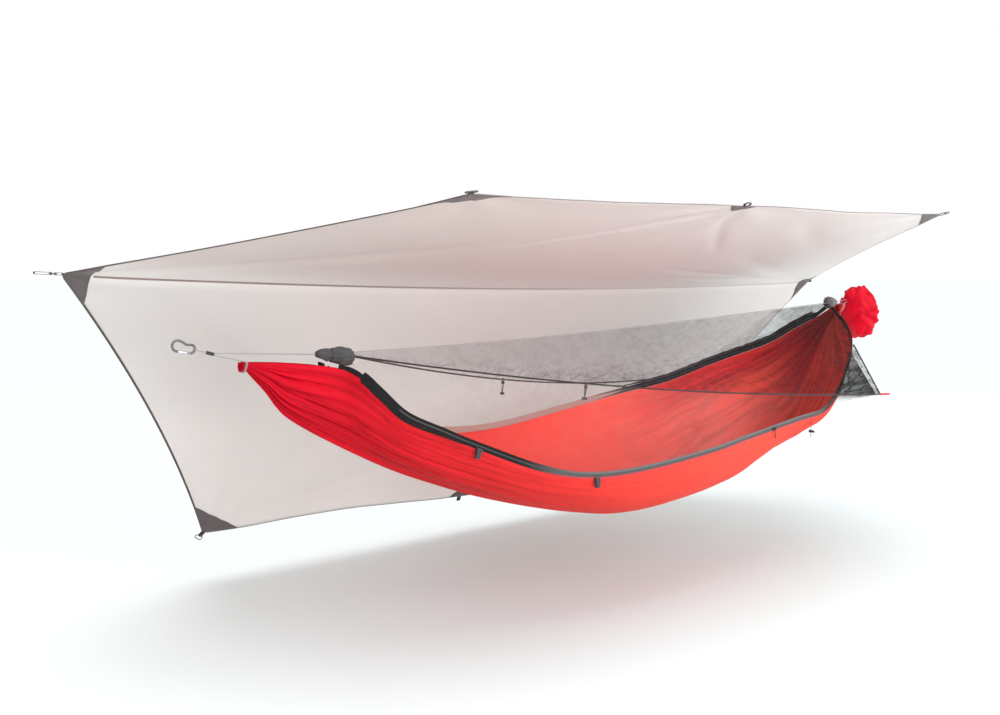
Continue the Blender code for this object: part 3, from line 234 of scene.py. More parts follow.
def fly_ruffle(here, u, v):
    """Height of the small creases that fan in from the sewn corners, and of the slack between them."""
    height = 0.0
    for name in CORNER_SHARES:
        corner = fly_corner_flat(name)
        reach = (here - corner).length
        if reach < 3 * RUFFLE_REACH:
            turn = math.atan2(here.y - corner.y, here.x - corner.x)
            rise = min(1.0, reach / RUFFLE_REACH * 2) * math.exp(-((reach / RUFFLE_REACH) ** 2))
            height += rise * math.sin(RUFFLE_COUNT * turn + corner.x)
    slack = 0.0
    for along, across, seed, rise in SLACK_WAVES:
        slack += rise * noise.noise(Vector((here.x * along, here.y * across, seed)))
    return RUFFLE_HEIGHT * (height + slack * (1 - u**4) * min(1.0, 4 * abs(v)))


def fly_point(u, v, ruffled=False):
    """A place on the fly.

    u runs from -1 at the head to 1 at the foot, and v from -1 at the porch edge to 1 at the wall edge.
    """
    share = abs(v)
    half = fly_half_length(share)
    z = lerp(RIDGE_HEAD_Z, RIDGE_FOOT_Z, (u + 1) / 2) - RIDGE_SAG * (1 - u * u) * (1 - share)
    reach = PANEL_WIDTH * share - EDGE_BOW * share**2 * math.sin(math.pi * abs(u)) ** 2
    turn = lerp(PORCH_HEAD_RISE, PORCH_FOOT_RISE, (u + 1) / 2) if v < 0 else -WALL_FALL
    sign = -1 if v < 0 else 1
    here = Vector((u * half, v * PANEL_WIDTH))
    lift = fly_ruffle(here, u, v) if ruffled else 0.0
    for u0, v0, u1, v1, rise, width in CREASE_SHARES:
        if v0 * v > 0:
            start = Vector((u0 * half, v0 * PANEL_WIDTH))
            end = Vector((u1 * half, v1 * PANEL_WIDTH))
            t = max(0.0, min(1.0, (here - start).dot(end - start) / (end - start).length_squared))
            distance = (here - start.lerp(end, t)).length
            lift += CREASE_HEIGHT * rise * math.sin(math.pi * t) * math.exp(-((distance / width) ** 2))
    y = RIDGE_Y + sign * reach * math.cos(turn)
    place = Vector((RIDGE_CENTRE_X + u * half, y, z + reach * math.sin(turn)))
    return place + Vector((0, -math.sin(turn) * sign, math.cos(turn))) * lift


def drape(columns, rows, flat, place):
    """A cloth laid out as a grid over the shares -1 to 1, then put in its place; its UV map is in metres."""
    bm = bmesh.new()
    bmesh.ops.create_grid(bm, x_segments=columns, y_segments=rows, size=1)
    cut = bm.loops.layers.uv.new("cut")
    for face in bm.faces:
        for corner in face.loops:
            corner[cut].uv = flat(corner.vert.co.x, corner.vert.co.y)
    for vert in bm.verts:
        vert.co = place(vert.co.x, vert.co.y)
    return bm


def piece(name, bm, material, body, slot, crease=60, replaces=()):
    """Turn a bmesh into a piece that rides on a body."""
    mesh = bpy.data.meshes.new(name)
    bm.to_mesh(mesh)
    bm.free()
    mesh.shade_smooth()
    mesh.set_sharp_from_angle(angle=math.radians(crease))
    mesh.materials.append(material)
    obj = new_object(name, mesh)
    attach(obj, body)
    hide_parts(*replaces)
    return obj


def thicken(obj, thickness):
    """Give a cloth its two faces and its hem edge."""
    wall = obj.modifiers.new("thickness", "SOLIDIFY")
    wall.thickness = thickness
    wall.offset = 0.0
    return obj


def new_effect(name, takes, gives):
    """An empty node group with named inputs and outputs."""
    tree = bpy.data.node_groups.new(name, "ShaderNodeTree")
    for label, default in takes.items():
        kind = "NodeSocketVector" if default is None else "NodeSocketFloat"
        socket = tree.interface.new_socket(label, in_out="INPUT", socket_type=kind)
        if default is not None:
            socket.default_value = default
    for label in gives:
        tree.interface.new_socket(label, in_out="OUTPUT", socket_type="NodeSocketFloat")
    return tree, tree.nodes.new("NodeGroupInput").outputs, tree.nodes.new("NodeGroupOutput").inputs


def split(tree, vector):
    """The U and V of a cloth coordinate."""
    parts = tree.nodes.new("ShaderNodeSeparateXYZ")
    tree.links.new(vector, parts.inputs[0])
    return parts.outputs[0], parts.outputs[1]


def fade(tree, value, low, high):
    """Nought below low and one above high."""
    ramp = tree.nodes.new("ShaderNodeMapRange")
    ramp.interpolation_type = "SMOOTHSTEP"
    ramp.inputs["From Min"].default_value = low
    ramp.inputs["From Max"].default_value = high
    tree.links.new(value, ramp.inputs["Value"])
    return ramp.outputs["Result"]


def off_middle(tree, value, middle=0.5):
    """How far a value is from a middle one."""
    return maths(tree, "ABSOLUTE", maths(tree, "SUBTRACT", value, middle))


def vary(tree, shade, part, gain, base=1.0):
    """A shade times a base value, and more or less by a gain where a mask says."""
    return maths(tree, "MULTIPLY", shade, maths(tree, "MULTIPLY_ADD", part, gain, base))


def sine_wave(tree, value, period, turn=2 * math.pi):
    """A sine wave that makes a whole turn, or the part of one given, in each period."""
    return maths(tree, "SINE", maths(tree, "MULTIPLY", maths(tree, "DIVIDE", value, period), turn))


# Plain weave with thicker threads at each grid line, as in ripstop cloth
FLY_THREAD = 0.0006
FLY_GRID = 0.006
GRID_LINE_EDGES = (0.40, 0.47)
THREAD_DIP = 0.4
ripstop, takes, gives = new_effect(
    "ripstop_weave", {"Cloth": None, "Thread": FLY_THREAD, "Grid": FLY_GRID}, ("Height", "Grid lines")
)
across, along = split(ripstop, takes["Cloth"])
waves = []
lines = []
for direction in (across, along):
    waves.append(sine_wave(ripstop, direction, takes["Thread"], math.pi))
    cell = maths(ripstop, "FRACT", maths(ripstop, "DIVIDE", direction, takes["Grid"]))
    lines.append(fade(ripstop, off_middle(ripstop, cell), *GRID_LINE_EDGES))
grid = maths(ripstop, "MAXIMUM", *lines)
over = maths(ripstop, "GREATER_THAN", maths(ripstop, "MULTIPLY", *waves), 0.0)
warp, weft = (maths(ripstop, "ABSOLUTE", wave) for wave in waves)
warp_top = vary(ripstop, weft, warp, THREAD_DIP, 1 - THREAD_DIP)
weft_top = vary(ripstop, warp, weft, THREAD_DIP, 1 - THREAD_DIP)
both = maths(ripstop, "MULTIPLY_ADD", over, maths(ripstop, "SUBTRACT", warp_top, weft_top), weft_top)
ripstop.links.new(maths(ripstop, "ADD", both, grid), gives["Height"])
ripstop.links.new(grid, gives["Grid lines"])


def noise_value(tree, vector, scale, detail=3.0, roughness=0.55):
    """A soft random value from 0 to 1 at each place."""
    texture = tree.nodes.new("ShaderNodeTexNoise")
    tree.links.new(vector, texture.inputs["Vector"])
    for label, value in (("Scale", scale), ("Detail", detail), ("Roughness", roughness)):
        if isinstance(value, bpy.types.NodeSocket):
            tree.links.new(value, texture.inputs[label])
        else:
            texture.inputs[label].default_value = value
    return texture.outputs[0]


# Uneven dye and coating: a shade that wanders a little about one
mottle, takes, gives = new_effect("mottle", {"Place": None, "Scale": 3.0, "Amount": 0.06}, ("Shade",))
wander = maths(mottle, "SUBTRACT", noise_value(mottle, takes["Place"], takes["Scale"]), 0.5)
mottle.links.new(maths(mottle, "MULTIPLY_ADD", wander, takes["Amount"], 1.0), gives["Shade"])

# Crinkles: the sharp small ridges that thin nylon keeps from being packed
CRINKLE_SLOPE = 4.0
crinkle, takes, gives = new_effect("crinkle", {"Place": None, "Scale": 12.0}, ("Height",))
fold = noise_value(crinkle, takes["Place"], takes["Scale"], detail=4.0, roughness=0.5)
ridge = off_middle(crinkle, fold)
crinkle.links.new(inverse(crinkle, maths(crinkle, "MULTIPLY", ridge, CRINKLE_SLOPE)), gives["Height"])


def effect(tree, group, **values):
    """Place a node group in a material, with its own values; an underscore in a label stands for a space."""
    node = tree.nodes.new("ShaderNodeGroup")
    node.node_tree = group
    for label, value in values.items():
        socket = node.inputs[label.replace("_", " ")]
        if isinstance(value, bpy.types.NodeSocket):
            tree.links.new(value, socket)
        else:
            socket.default_value = value
    return node.outputs


SHEEN_ROUGHNESS = 0.4


def mottled(tree, place, scale, amount):
    """The shade of an uneven dye or coating."""
    return effect(tree, mottle, Place=place, Scale=scale, Amount=amount)["Shade"]


def crinkled(tree, place, scale):
    """The height of a thin cloth's crinkles."""
    return effect(tree, crinkle, Place=place, Scale=scale)["Height"]


def new_finish(name, roughness, metallic=0.0, sheen=0.0, specular=0.5):
    """A material whose shader has its constants set, with its tree and its cloth and object coordinates."""
    material = bpy.data.materials.new(name)
    material.use_nodes = True
    tree = material.node_tree
    shader = tree.nodes["Principled BSDF"]
    constants = {
        "Roughness": roughness,
        "Metallic": metallic,
        "Sheen Weight": sheen,
        "Sheen Roughness": SHEEN_ROUGHNESS,
        "Specular IOR Level": specular,
    }
    for label, value in constants.items():
        shader.inputs[label].default_value = value
    cut = tree.nodes.new("ShaderNodeUVMap")
    cut.uv_map = "cut"
    place = tree.nodes.new("ShaderNodeTexCoord")
    return material, tree, shader, cut.outputs["UV"], place.outputs["Object"]


def tint(tree, shader, colour, shade, second=None, mask=None):
    """Base colour that turns to a second colour where the mask says, and varies with a shade."""
    mix = tree.nodes.new("ShaderNodeMix")
    mix.data_type = "RGBA"
    mix.blend_type = "MULTIPLY"
    mix.inputs["Factor"].default_value = 1.0
    mix.inputs["A"].default_value = (*colour, 1)
    tree.links.new(shade, mix.inputs["B"])
    if second is not None:
        over = tree.nodes.new("ShaderNodeMix")
        over.data_type = "RGBA"
        over.inputs["A"].default_value = (*colour, 1)
        over.inputs["B"].default_value = (*second, 1)
        tree.links.new(mask, over.inputs["Factor"])
        tree.links.new(over.outputs["Result"], mix.inputs["A"])
    tree.links.new(mix.outputs["Result"], shader.inputs["Base Color"])


def emboss(tree, shader, *heights):
    """Raise the surface by several heights, each with its own distance in metres."""
    total = maths(tree, "MULTIPLY", *heights[0])
    for height, distance in heights[1:]:
        total = maths(tree, "MULTIPLY_ADD", height, distance, total)
    bump = tree.nodes.new("ShaderNodeBump")
    bump.inputs["Strength"].default_value = 1.0
    bump.inputs["Distance"].default_value = 1.0
    tree.links.new(total, bump.inputs["Height"])
    tree.links.new(bump.outputs["Normal"], shader.inputs["Normal"])


# Fly colour: painted shade makes the porch panel browner towards the head and the wall panel darker under the
# ridge and at its head end; painted light makes the wall panel lighter low down.
FLY_COLOUR = (0.76, 0.73, 0.71)
FLY_PAINTED_SHADE_COLOUR = (0.62, 0.54, 0.51)
PORCH_EDGES = (-0.25, 0.02)
PORCH_HEAD_EDGES = (-1.5, 0.9)
WALL_EDGES = (0.0, 0.04)
WALL_TOP_EDGES = (0.15, 0.60)
WALL_HEAD_EDGES = (-1.5, -0.7)
WALL_LOW_EDGES = (0.30, 0.85)
WALL_FOOT_EDGES = (-1.1, -0.4)
WALL_TOP_SHADE_GAIN = -0.11
WALL_HEAD_SHADE_GAIN = -0.10
WALL_LOW_LIGHT_GAIN = 0.20
GRID_LINE_GAIN = -0.03
FLY_THREAD_RISE = 0.00003
FLY_FOLD_RISE = 0.0012
fly_finish, tree, shader, cut, place = new_finish("fly_cloth", 0.55, sheen=0.05)
cloth = effect(tree, ripstop, Cloth=cut, Thread=FLY_THREAD, Grid=FLY_GRID)
shade = mottled(tree, cut, scale=2.5, amount=0.10)
along, across = split(tree, cut)
# Painted shade: the porch panel turns a darker brown towards the head.
porch = inverse(tree, fade(tree, across, *PORCH_EDGES))
painted_porch_shade = maths(tree, "MULTIPLY", porch, inverse(tree, fade(tree, along, *PORCH_HEAD_EDGES)))
# Painted shade darkens the wall panel under the ridge, most at its head end, and painted light brightens it
# low down.
wall = fade(tree, across, *WALL_EDGES)
painted_wall_top_shade = maths(tree, "MULTIPLY", wall, inverse(tree, fade(tree, across, *WALL_TOP_EDGES)))
painted_wall_head_shade = maths(tree, "MULTIPLY", painted_wall_top_shade, inverse(tree, fade(tree, along, *WALL_HEAD_EDGES)))
wall_low = fade(tree, across, *WALL_LOW_EDGES)
painted_wall_low_light = maths(tree, "MULTIPLY", wall_low, fade(tree, along, *WALL_FOOT_EDGES))
for part, gain in ((painted_wall_top_shade, WALL_TOP_SHADE_GAIN), (painted_wall_head_shade, WALL_HEAD_SHADE_GAIN), (painted_wall_low_light, WALL_LOW_LIGHT_GAIN)):
    shade = vary(tree, shade, part, gain)
shade = maths(tree, "MULTIPLY_ADD", cloth["Grid lines"], GRID_LINE_GAIN, shade)
tint(tree, shader, FLY_COLOUR, shade, FLY_PAINTED_SHADE_COLOUR, painted_porch_shade)
folds = crinkled(tree, cut, scale=3.5)
emboss(tree, shader, (cloth["Height"], FLY_THREAD_RISE), (folds, FLY_FOLD_RISE))


def fly_flat(u, v):
    """A place on the flat fly, in metres from the middle of its ridge."""
    return (u * fly_half_length(abs(v)), v * PANEL_WIDTH)


fly_grid = drape(FLY_COLUMNS, FLY_ROWS, fly_flat, lambda u, v: fly_point(u, v, ruffled=True))

X = Vector((1, 0, 0))
Y = Vector((0, 1, 0))
Z = Vector((0, 0, 1))


def corner_frame(u, v):
    """A fly corner's place, its outward direction and the direction across it, both in the sheet."""
    step = 0.05
    place = fly_point(u, v)
    if v == 0:
        outward = (place - fly_point(u * (1 - step), 0)).normalized()
        return place, outward, Y.copy()
    if abs(u) < 1:
        inward = (fly_point(u, v * (1 - step)) - place).normalized()
        return place, -inward, X.copy()
    along_edge = (fly_point(u * (1 - step), v) - place).normalized()
    along_end = (fly_point(u, v * (1 - step)) - place).normalized()
    outward = -(along_edge + along_end).normalized()
    normal = along_edge.cross(along_end).normalized()
    return place, outward, outward.cross(normal).normalized()


TIP_CUT = 0.0070
CUT_REACH = 0.42


def cut_off(bm, place, planes, keep_inside):
    """Cut a sheet along planes near a place, and keep what is inside them all, or the rest."""
    for plane_place, normal in planes:
        near = [f for f in bm.faces if (f.calc_center_median() - place).length < CUT_REACH]
        geometry = {e for f in near for e in f.edges} | {v for f in near for v in f.verts} | set(near)
        bmesh.ops.bisect_plane(bm, geom=list(geometry), dist=1e-5, plane_co=plane_place, plane_no=normal)
    drop = []
    for face in bm.faces:
        centre = face.calc_center_median()
        inside = (centre - place).length < CUT_REACH
        inside = inside and all((centre - p).dot(n) < 0 for p, n in planes)
        if inside != keep_inside:
            drop.append(face)
    bmesh.ops.delete(bm, geom=drop, context="FACES")


def trim_tip(bm, name):
    """Take off the point of a corner, where the webbing is sewn."""
    u, v = CORNER_SHARES[name]
    place, outward, _ = corner_frame(u, v)
    if abs(u) == 1:
        cut_off(bm, place, [(place - outward * TIP_CUT, -outward)], False)


fly = fly_grid.copy()
for corner_name in CORNER_SHARES:
    trim_tip(fly, corner_name)
fly_sheet = piece("fly_sheet", fly, fly_finish, "fly", "fly_cloth", replaces=("porch_panel", "wall_panel"))
thicken(fly_sheet, FLY_THICKNESS)


# Fly edges: the cut edges are bound with folded tape, broad and dark at the head end and narrow
# elsewhere. The two panels meet in a felled seam along the ridge; its tape is painted dark brown as
# shade in the fold, and turns to a paler painted light towards the foot, where light comes through it.
HEAD_BINDING_WIDTH = 0.0065
HEM_WIDTH = 0.0032
BINDING_THICKNESS = 0.0026
BINDING_END_SHARE = 0.985
BINDING_START_SHARE = 0.012
BINDING_STEPS = 120
EDGE_STEPS = 6
FACE_STEPS = 8
RIDGE_SEAM_SHARE = 0.949
RIDGE_SEAM_WIDTH = 0.0090
RIDGE_SEAM_THICKNESS = 0.0014
RIDGE_SEAM_DROP = 0.0022


def tangents(path, closed=False):
    """The direction of a path at each of its places."""
    if closed:
        return [(path[(i + 1) % len(path)] - path[i - 1]).normalized() for i in range(len(path))]
    ahead = [*path[1:], path[-1]]
    behind = [path[0], *path[:-1]]
    return [(a - b).normalized() for a, b in zip(ahead, behind)]


def running_length(path):
    """How far along a path each of its places lies."""
    total = [0.0]
    for a, b in zip(path, path[1:]):
        total.append(total[-1] + (b - a).length)
    return total


def roll(path, sides, outline, closed=False, shape=None):
    """A strip rolled round a path, its UV map in metres along it and round it.

    shape(i, p, q), where it is given, moves the outline's places at step i.
    """
    bm = bmesh.new()
    stretch = len(path) if closed else len(path) - 1
    girth = len(outline)
    bmesh.ops.create_grid(bm, x_segments=stretch, y_segments=girth, size=1)
    rings = []
    for i, (place, direction) in enumerate(zip(path, tangents(path, closed))):
        side = (sides[i] - direction * sides[i].dot(direction)).normalized()
        up = direction.cross(side)
        offsets = outline if shape is None else [shape(i, p, q) for p, q in outline]
        rings.append([place + side * p + up * q for p, q in offsets])
    runs = running_length([*path, path[0]] if closed else path)
    rounds = running_length([Vector(p) for p in [*outline, outline[0]]])
    cut = bm.loops.layers.uv.new("cut")
    index = {v: (round((v.co.x + 1) / 2 * stretch), round((v.co.y + 1) / 2 * girth)) for v in bm.verts}
    for face in bm.faces:
        for corner in face.loops:
            i, k = index[corner.vert]
            corner[cut].uv = (runs[i], rounds[k])
    for vert, (i, k) in index.items():
        vert.co = rings[i % len(rings)][k % girth]
    bmesh.ops.remove_doubles(bm, verts=bm.verts[:], dist=1e-6)
    if not closed:
        rims = [e for e in bm.edges if e.is_boundary]
        bmesh.ops.holes_fill(bm, edges=rims, sides=0)
    bmesh.ops.recalc_face_normals(bm, faces=bm.faces[:])
    return bm


def strap_outline(width, thickness):
    """A flat woven strap's outline: two faces, and edges rounded by the turning threads."""
    edge = thickness / 2
    flat = width / 2 - edge
    outline = []
    for sign in (1, -1):
        for k in range(EDGE_STEPS + 1):
            turn = math.pi * k / EDGE_STEPS - math.pi / 2
            outline.append((sign * (flat + edge * math.cos(turn)), sign * edge * math.sin(turn)))
        for k in range(1, FACE_STEPS):
            outline.append((sign * flat * (1 - 2 * k / FACE_STEPS), sign * edge))
    return outline


# Webbing weave: ribs across the strap, each crossed by fine lengthwise threads
WEBBING_WEAVE = {"Cloth": None, "Rib": 0.0016, "Thread": 0.0008}
ribbed, takes, gives = new_effect("webbing_ribs", WEBBING_WEAVE, ("Height",))
run, girth = split(ribbed, takes["Cloth"])
rib = sine_wave(ribbed, run, takes["Rib"])
strand = maths(ribbed, "ABSOLUTE", sine_wave(ribbed, girth, takes["Thread"], math.pi))
ribbed.links.new(vary(ribbed, strand, rib, 0.5, 0.5), gives["Height"])

# Stitches: two rows of short thread dashes, set in from both edges of a strap's faces
STITCH_ROWS = {"Cloth": None, "Pitch": 0.0030, "Face": 0.014, "Centre": 0.007, "Spread": 0.004}
THREAD_EDGES = (0.00025, 0.00040)
STITCH_GAP_EDGES = (0.30, 0.36)
stitched, takes, gives = new_effect("stitches", STITCH_ROWS, ("Mask",))
run, girth = split(stitched, takes["Cloth"])
local = maths(stitched, "FLOORED_MODULO", girth, takes["Face"])
off_centre = off_middle(stitched, local, takes["Centre"])
off_row = off_middle(stitched, off_centre, takes["Spread"])
row = inverse(stitched, fade(stitched, off_row, *THREAD_EDGES))
beat = maths(stitched, "FRACT", maths(stitched, "DIVIDE", run, takes["Pitch"]))
dash = fade(stitched, off_middle(stitched, beat), *STITCH_GAP_EDGES)
stitched.links.new(maths(stitched, "MULTIPLY", row, inverse(stitched, dash)), gives["Mask"])


def stitch_rows(tree, cut, width, thickness, inset=0.0012):
    """The stitch mask of a strap of a given width and thickness."""
    edge = math.pi * thickness / 2
    face = edge + width - thickness
    spread = max(0.0, (width - thickness) / 2 - inset)
    centre = edge + (width - thickness) / 2
    return effect(tree, stitched, Cloth=cut, Face=face, Centre=centre, Spread=spread)["Mask"]


RIB_RISE = 0.0003
STITCH_RISE = 0.0003
RIB_GAIN = 0.5
RIB_BASE = 0.7


def webbing_finish(name, colour, width=0.012, thickness=0.0012, thread=None):
    """Woven webbing with two stitch rows, whose thread is paler than the tape unless its colour is given."""
    material, tree, shader, cut, place = new_finish(name, 0.8, sheen=0.3)
    height = effect(tree, ribbed, Cloth=cut)["Height"]
    stitches = stitch_rows(tree, cut, width, thickness)
    shade = mottled(tree, place, scale=200.0, amount=0.5)
    # Painted shade: the hollows between the ribs are darker than their tops.
    shade = vary(tree, shade, height, RIB_GAIN, RIB_BASE)
    thread_colour = thread or tuple(min(1.0, 2.2 * c + 0.01) for c in colour)
    tint(tree, shader, colour, shade, thread_colour, stitches)
    emboss(tree, shader, (height, RIB_RISE), (stitches, STITCH_RISE))
    return material


BINDING_COLOUR = (0.085, 0.060, 0.058)
HEM_COLOUR = (0.24, 0.20, 0.19)
binding_finish = webbing_finish("edge_binding", BINDING_COLOUR, HEAD_BINDING_WIDTH, BINDING_THICKNESS)
hem_finish = webbing_finish("edge_hem", HEM_COLOUR, HEM_WIDTH, BINDING_THICKNESS)


def fly_edging(name, start, end, width, finish):
    """A tape folded over the fly's edge between two places, given as shares."""
    path = []
    sides = []
    for k in range(BINDING_STEPS + 1):
        u, v = (lerp(a, b, k / BINDING_STEPS) for a, b in zip(start, end))
        place = fly_point(u, v, ruffled=True)
        inner = fly_point(u * 0.99, v, ruffled=True) if abs(u) == 1 else fly_point(u, v * 0.99, ruffled=True)
        inward = (inner - place).normalized()
        path.append(place + inward * (width / 2 - BINDING_THICKNESS / 4))
        sides.append(inward)
    strip = roll(path, sides, strap_outline(width, BINDING_THICKNESS))
    return piece(name, strip, finish, "fly", "gusset_cloth")


first, last = BINDING_START_SHARE, BINDING_END_SHARE
trims = [
    fly_edging("head_porch_binding", (-1, -first), (-1, -last), HEAD_BINDING_WIDTH, binding_finish),
    fly_edging("head_wall_binding", (-1, first), (-1, last), HEAD_BINDING_WIDTH, binding_finish),
    fly_edging("foot_porch_hem", (1, -first), (1, -last), HEM_WIDTH, hem_finish),
    fly_edging("foot_wall_hem", (1, first), (1, last), HEM_WIDTH, hem_finish),
    fly_edging("porch_hem", (-last, -1), (last, -1), HEM_WIDTH, hem_finish),
    fly_edging("wall_hem", (-last, 1), (last, 1), HEM_WIDTH, hem_finish),
]

RIDGE_SEAM_SHADE_COLOUR = (0.27, 0.20, 0.175)
RIDGE_SEAM_PAINTED_LIGHT_COLOUR = (0.60, 0.55, 0.52)
RIDGE_SEAM_LIT_EDGES = (-1.1, 1.0)
RIDGE_SEAM_RIB_RISE = 0.0001
seam_finish, tree, shader, cut, place = new_finish("ridge_seam", 0.6, sheen=0.1)
height = effect(tree, ribbed, Cloth=cut, Rib=0.0012, Thread=0.0006)["Height"]
stitches = stitch_rows(tree, cut, RIDGE_SEAM_WIDTH, RIDGE_SEAM_THICKNESS)
shade = mottled(tree, place, scale=40.0, amount=0.3)
# Painted shade and light: the seam tape is dark at the head, as if shaded in its fold, and pale towards the
# foot, as if lit through.
painted_light_through = fade(tree, split(tree, place)[0], *RIDGE_SEAM_LIT_EDGES)
tint(tree, shader, RIDGE_SEAM_SHADE_COLOUR, shade, RIDGE_SEAM_PAINTED_LIGHT_COLOUR, painted_light_through)
emboss(tree, shader, (height, RIDGE_SEAM_RIB_RISE), (stitches, STITCH_RISE))
path = []
inside_turn = WALL_FALL / 2 + PORCH_HEAD_RISE / 2
inside = Vector((0, -math.sin(inside_turn), -math.cos(inside_turn)))
for k in range(BINDING_STEPS + 1):
    u = RIDGE_SEAM_SHARE * (2 * k / BINDING_STEPS - 1)
    path.append(fly_point(u, 0, ruffled=True) + inside * RIDGE_SEAM_DROP)
band = roll(path, [inside.cross(X)] * len(path), strap_outline(RIDGE_SEAM_WIDTH, RIDGE_SEAM_THICKNESS))
piece("ridge_seam_tape", band, seam_finish, "fly", "fly_cloth", replaces=("ridge_seam",))


# Gussets: a second layer of dark cloth sewn over each corner and edge point, on both faces of the
# fly, where the webbing pulls on it. Each is cut from the fly's own surface.
RIDGE_GUSSET_DEPTH = 0.078
CORNER_GUSSET_DEPTH = 0.070
EDGE_GUSSET_DEPTH = 0.048
EDGE_GUSSET_HALF_WIDTH = 0.060
GUSSET_THICKNESS = 0.0030
GUSSET_COLOUR = (0.11, 0.09, 0.09)
GUSSET_THREAD = 0.0009
GUSSET_GRID = 0.009
GUSSET_THREAD_RISE = 0.00008

gusset_finish, tree, shader, cut, place = new_finish("gusset_cloth", 0.70, sheen=0.15)
cloth = effect(tree, ripstop, Cloth=cut, Thread=GUSSET_THREAD, Grid=GUSSET_GRID)
shade = mottled(tree, place, scale=30.0, amount=0.35)
tint(tree, shader, GUSSET_COLOUR, shade)
emboss(tree, shader, (cloth["Height"], GUSSET_THREAD_RISE))


def gusset_planes(name):
    """The planes, as places and normals that point out of the gusset, at which it ends."""
    u, v = CORNER_SHARES[name]
    place, outward, wide = corner_frame(u, v)
    if abs(u) == 1:
        depth = RIDGE_GUSSET_DEPTH if v == 0 else CORNER_GUSSET_DEPTH
        return place, [(place - outward * depth, -outward)]
    planes = []
    tip = place - outward * EDGE_GUSSET_DEPTH
    for sign in (-1, 1):
        edge = (place + wide * (sign * EDGE_GUSSET_HALF_WIDTH) - tip).normalized()
        normal = edge.cross(outward.cross(wide))
        if normal.dot(wide) * sign < 0:
            normal = -normal
        planes.append((tip, normal.normalized()))
    return place, planes


for corner_name in CORNER_SHARES:
    patch = fly_grid.copy()
    place, planes = gusset_planes(corner_name)
    cut_off(patch, place, planes, True)
    trim_tip(patch, corner_name)
    replaced = (f"{corner_name}_gusset",)
    gusset = piece(f"{corner_name}_patch", patch, gusset_finish, "fly", "gusset_cloth", replaces=replaced)
    trims.append(thicken(gusset, GUSSET_THICKNESS))
fly_grid.free()


# Webbing tabs at the gussets: flat woven nylon folded into a loop and sewn to the fly's corner. Five
# of them hold a bent wire ring for a guy line, and a pull tab hangs on the head ring.
WEBBING_WIDTH = 0.012
WEBBING_THICKNESS = 0.0012
TAB_LENGTH = 0.022
TAB_HALF_GAP = 0.0024
EDGE_TAB_HALF_GAP = 0.0034
PULL_TAB_LENGTH = 0.045
RING_STOCK_RADIUS = 0.0015
RING_END_RADIUS = 0.0070
RING_STRAIGHT = 0.0150
RINGED = ("head", "near_head", "near_foot", "far_head", "far_foot")
RING_SIDES = 20
LOOP_STEPS = 12
OVAL_STEPS = 20
CLEARANCE = 0.0003
BLACK_WEBBING_COLOUR = (0.045, 0.043, 0.045)
RED_WEBBING_COLOUR = (0.70, 0.04, 0.05)


def circle(radius, count):
    """The outline of a round rod."""
    turns = [2 * math.pi * k / count for k in range(count)]
    return [(radius * math.cos(turn), radius * math.sin(turn)) for turn in turns]


def arc(centre, p, q, radius, steps, start=0.0):
    """Places on a half circle about a centre, in the plane of p and q."""
    path = []
    for k in range(steps + 1):
        turn = start + math.pi * k / steps
        path.append(centre + p * (radius * math.cos(turn)) + q * (radius * math.sin(turn)))
    return path


def strap_loop(base, outward, wide, length, half_gap, width):
    """A strap folded into a long loop: it starts at base, runs outward, and is wide along wide."""
    normal = outward.cross(wide).normalized()
    radius = half_gap + WEBBING_THICKNESS / 2
    near = base + outward * (radius + WEBBING_THICKNESS / 2)
    far = base + outward * (length - radius - WEBBING_THICKNESS / 2)
    path = arc(far, normal, outward, radius, LOOP_STEPS)
    path += arc(near, normal, outward, radius, LOOP_STEPS, math.pi)
    return roll(path, [wide] * len(path), strap_outline(width, WEBBING_THICKNESS), closed=True)


black_webbing = webbing_finish("webbing", BLACK_WEBBING_COLOUR)
red_webbing = webbing_finish("red_webbing", RED_WEBBING_COLOUR)


# Scuffs on metal: fine scratches and slightly worn patches
WORN_EDGES = (0.5, 0.75)
WORN_COLOUR_SHARE = 0.35
WORN_ROUGHNESS = 0.18
SCRATCH_RISE = 0.00002
scuffed, takes, gives = new_effect("scuffs", {"Place": None, "Scale": 400.0}, ("Worn", "Height"))
patches = noise_value(scuffed, takes["Place"], takes["Scale"], detail=5.0, roughness=0.7)
scuffed.links.new(fade(scuffed, patches, *WORN_EDGES), gives["Worn"])
scuffed.links.new(patches, gives["Height"])


def metal_finish(name, colour, roughness, worn):
    """Plated metal that is rougher, and shows a second colour, where it is worn."""
    material, tree, shader, cut, place = new_finish(name, roughness, metallic=1.0)
    scuffs = effect(tree, scuffed, Place=place)
    shade = mottled(tree, place, scale=90.0, amount=0.2)
    tint(tree, shader, colour, shade, worn, maths(tree, "MULTIPLY", scuffs["Worn"], WORN_COLOUR_SHARE))
    rough = maths(tree, "MULTIPLY_ADD", scuffs["Worn"], WORN_ROUGHNESS, roughness)
    tree.links.new(rough, shader.inputs["Roughness"])
    emboss(tree, shader, (scuffs["Height"], SCRATCH_RISE))
    return material


steel = metal_finish("steel", (0.62, 0.63, 0.65), 0.22, (0.75, 0.75, 0.75))
gunmetal = metal_finish("gunmetal", (0.13, 0.13, 0.14), 0.30, (0.40, 0.40, 0.41))


def tab_frame(name):
    """Where a corner's webbing starts, its outward direction and its width direction."""
    u, v = CORNER_SHARES[name]
    place, outward, wide = corner_frame(u, v)
    tip = TIP_CUT if abs(u) == 1 else 0
    return place + outward * (CLEARANCE - tip), outward, wide


def ring_bar(name):
    """Centre of the ring's bar that lies in the webbing."""
    start, outward, _ = tab_frame(name)
    return start + outward * (TAB_LENGTH - WEBBING_THICKNESS - TAB_HALF_GAP)


def oval(centre, along, across, straight, radius):
    """A closed path of two straight runs along an axis, joined by half circles."""
    path = []
    for sign in (1, -1):
        path += arc(centre + along * (sign * straight / 2), across, along, sign * radius, OVAL_STEPS)
    return path


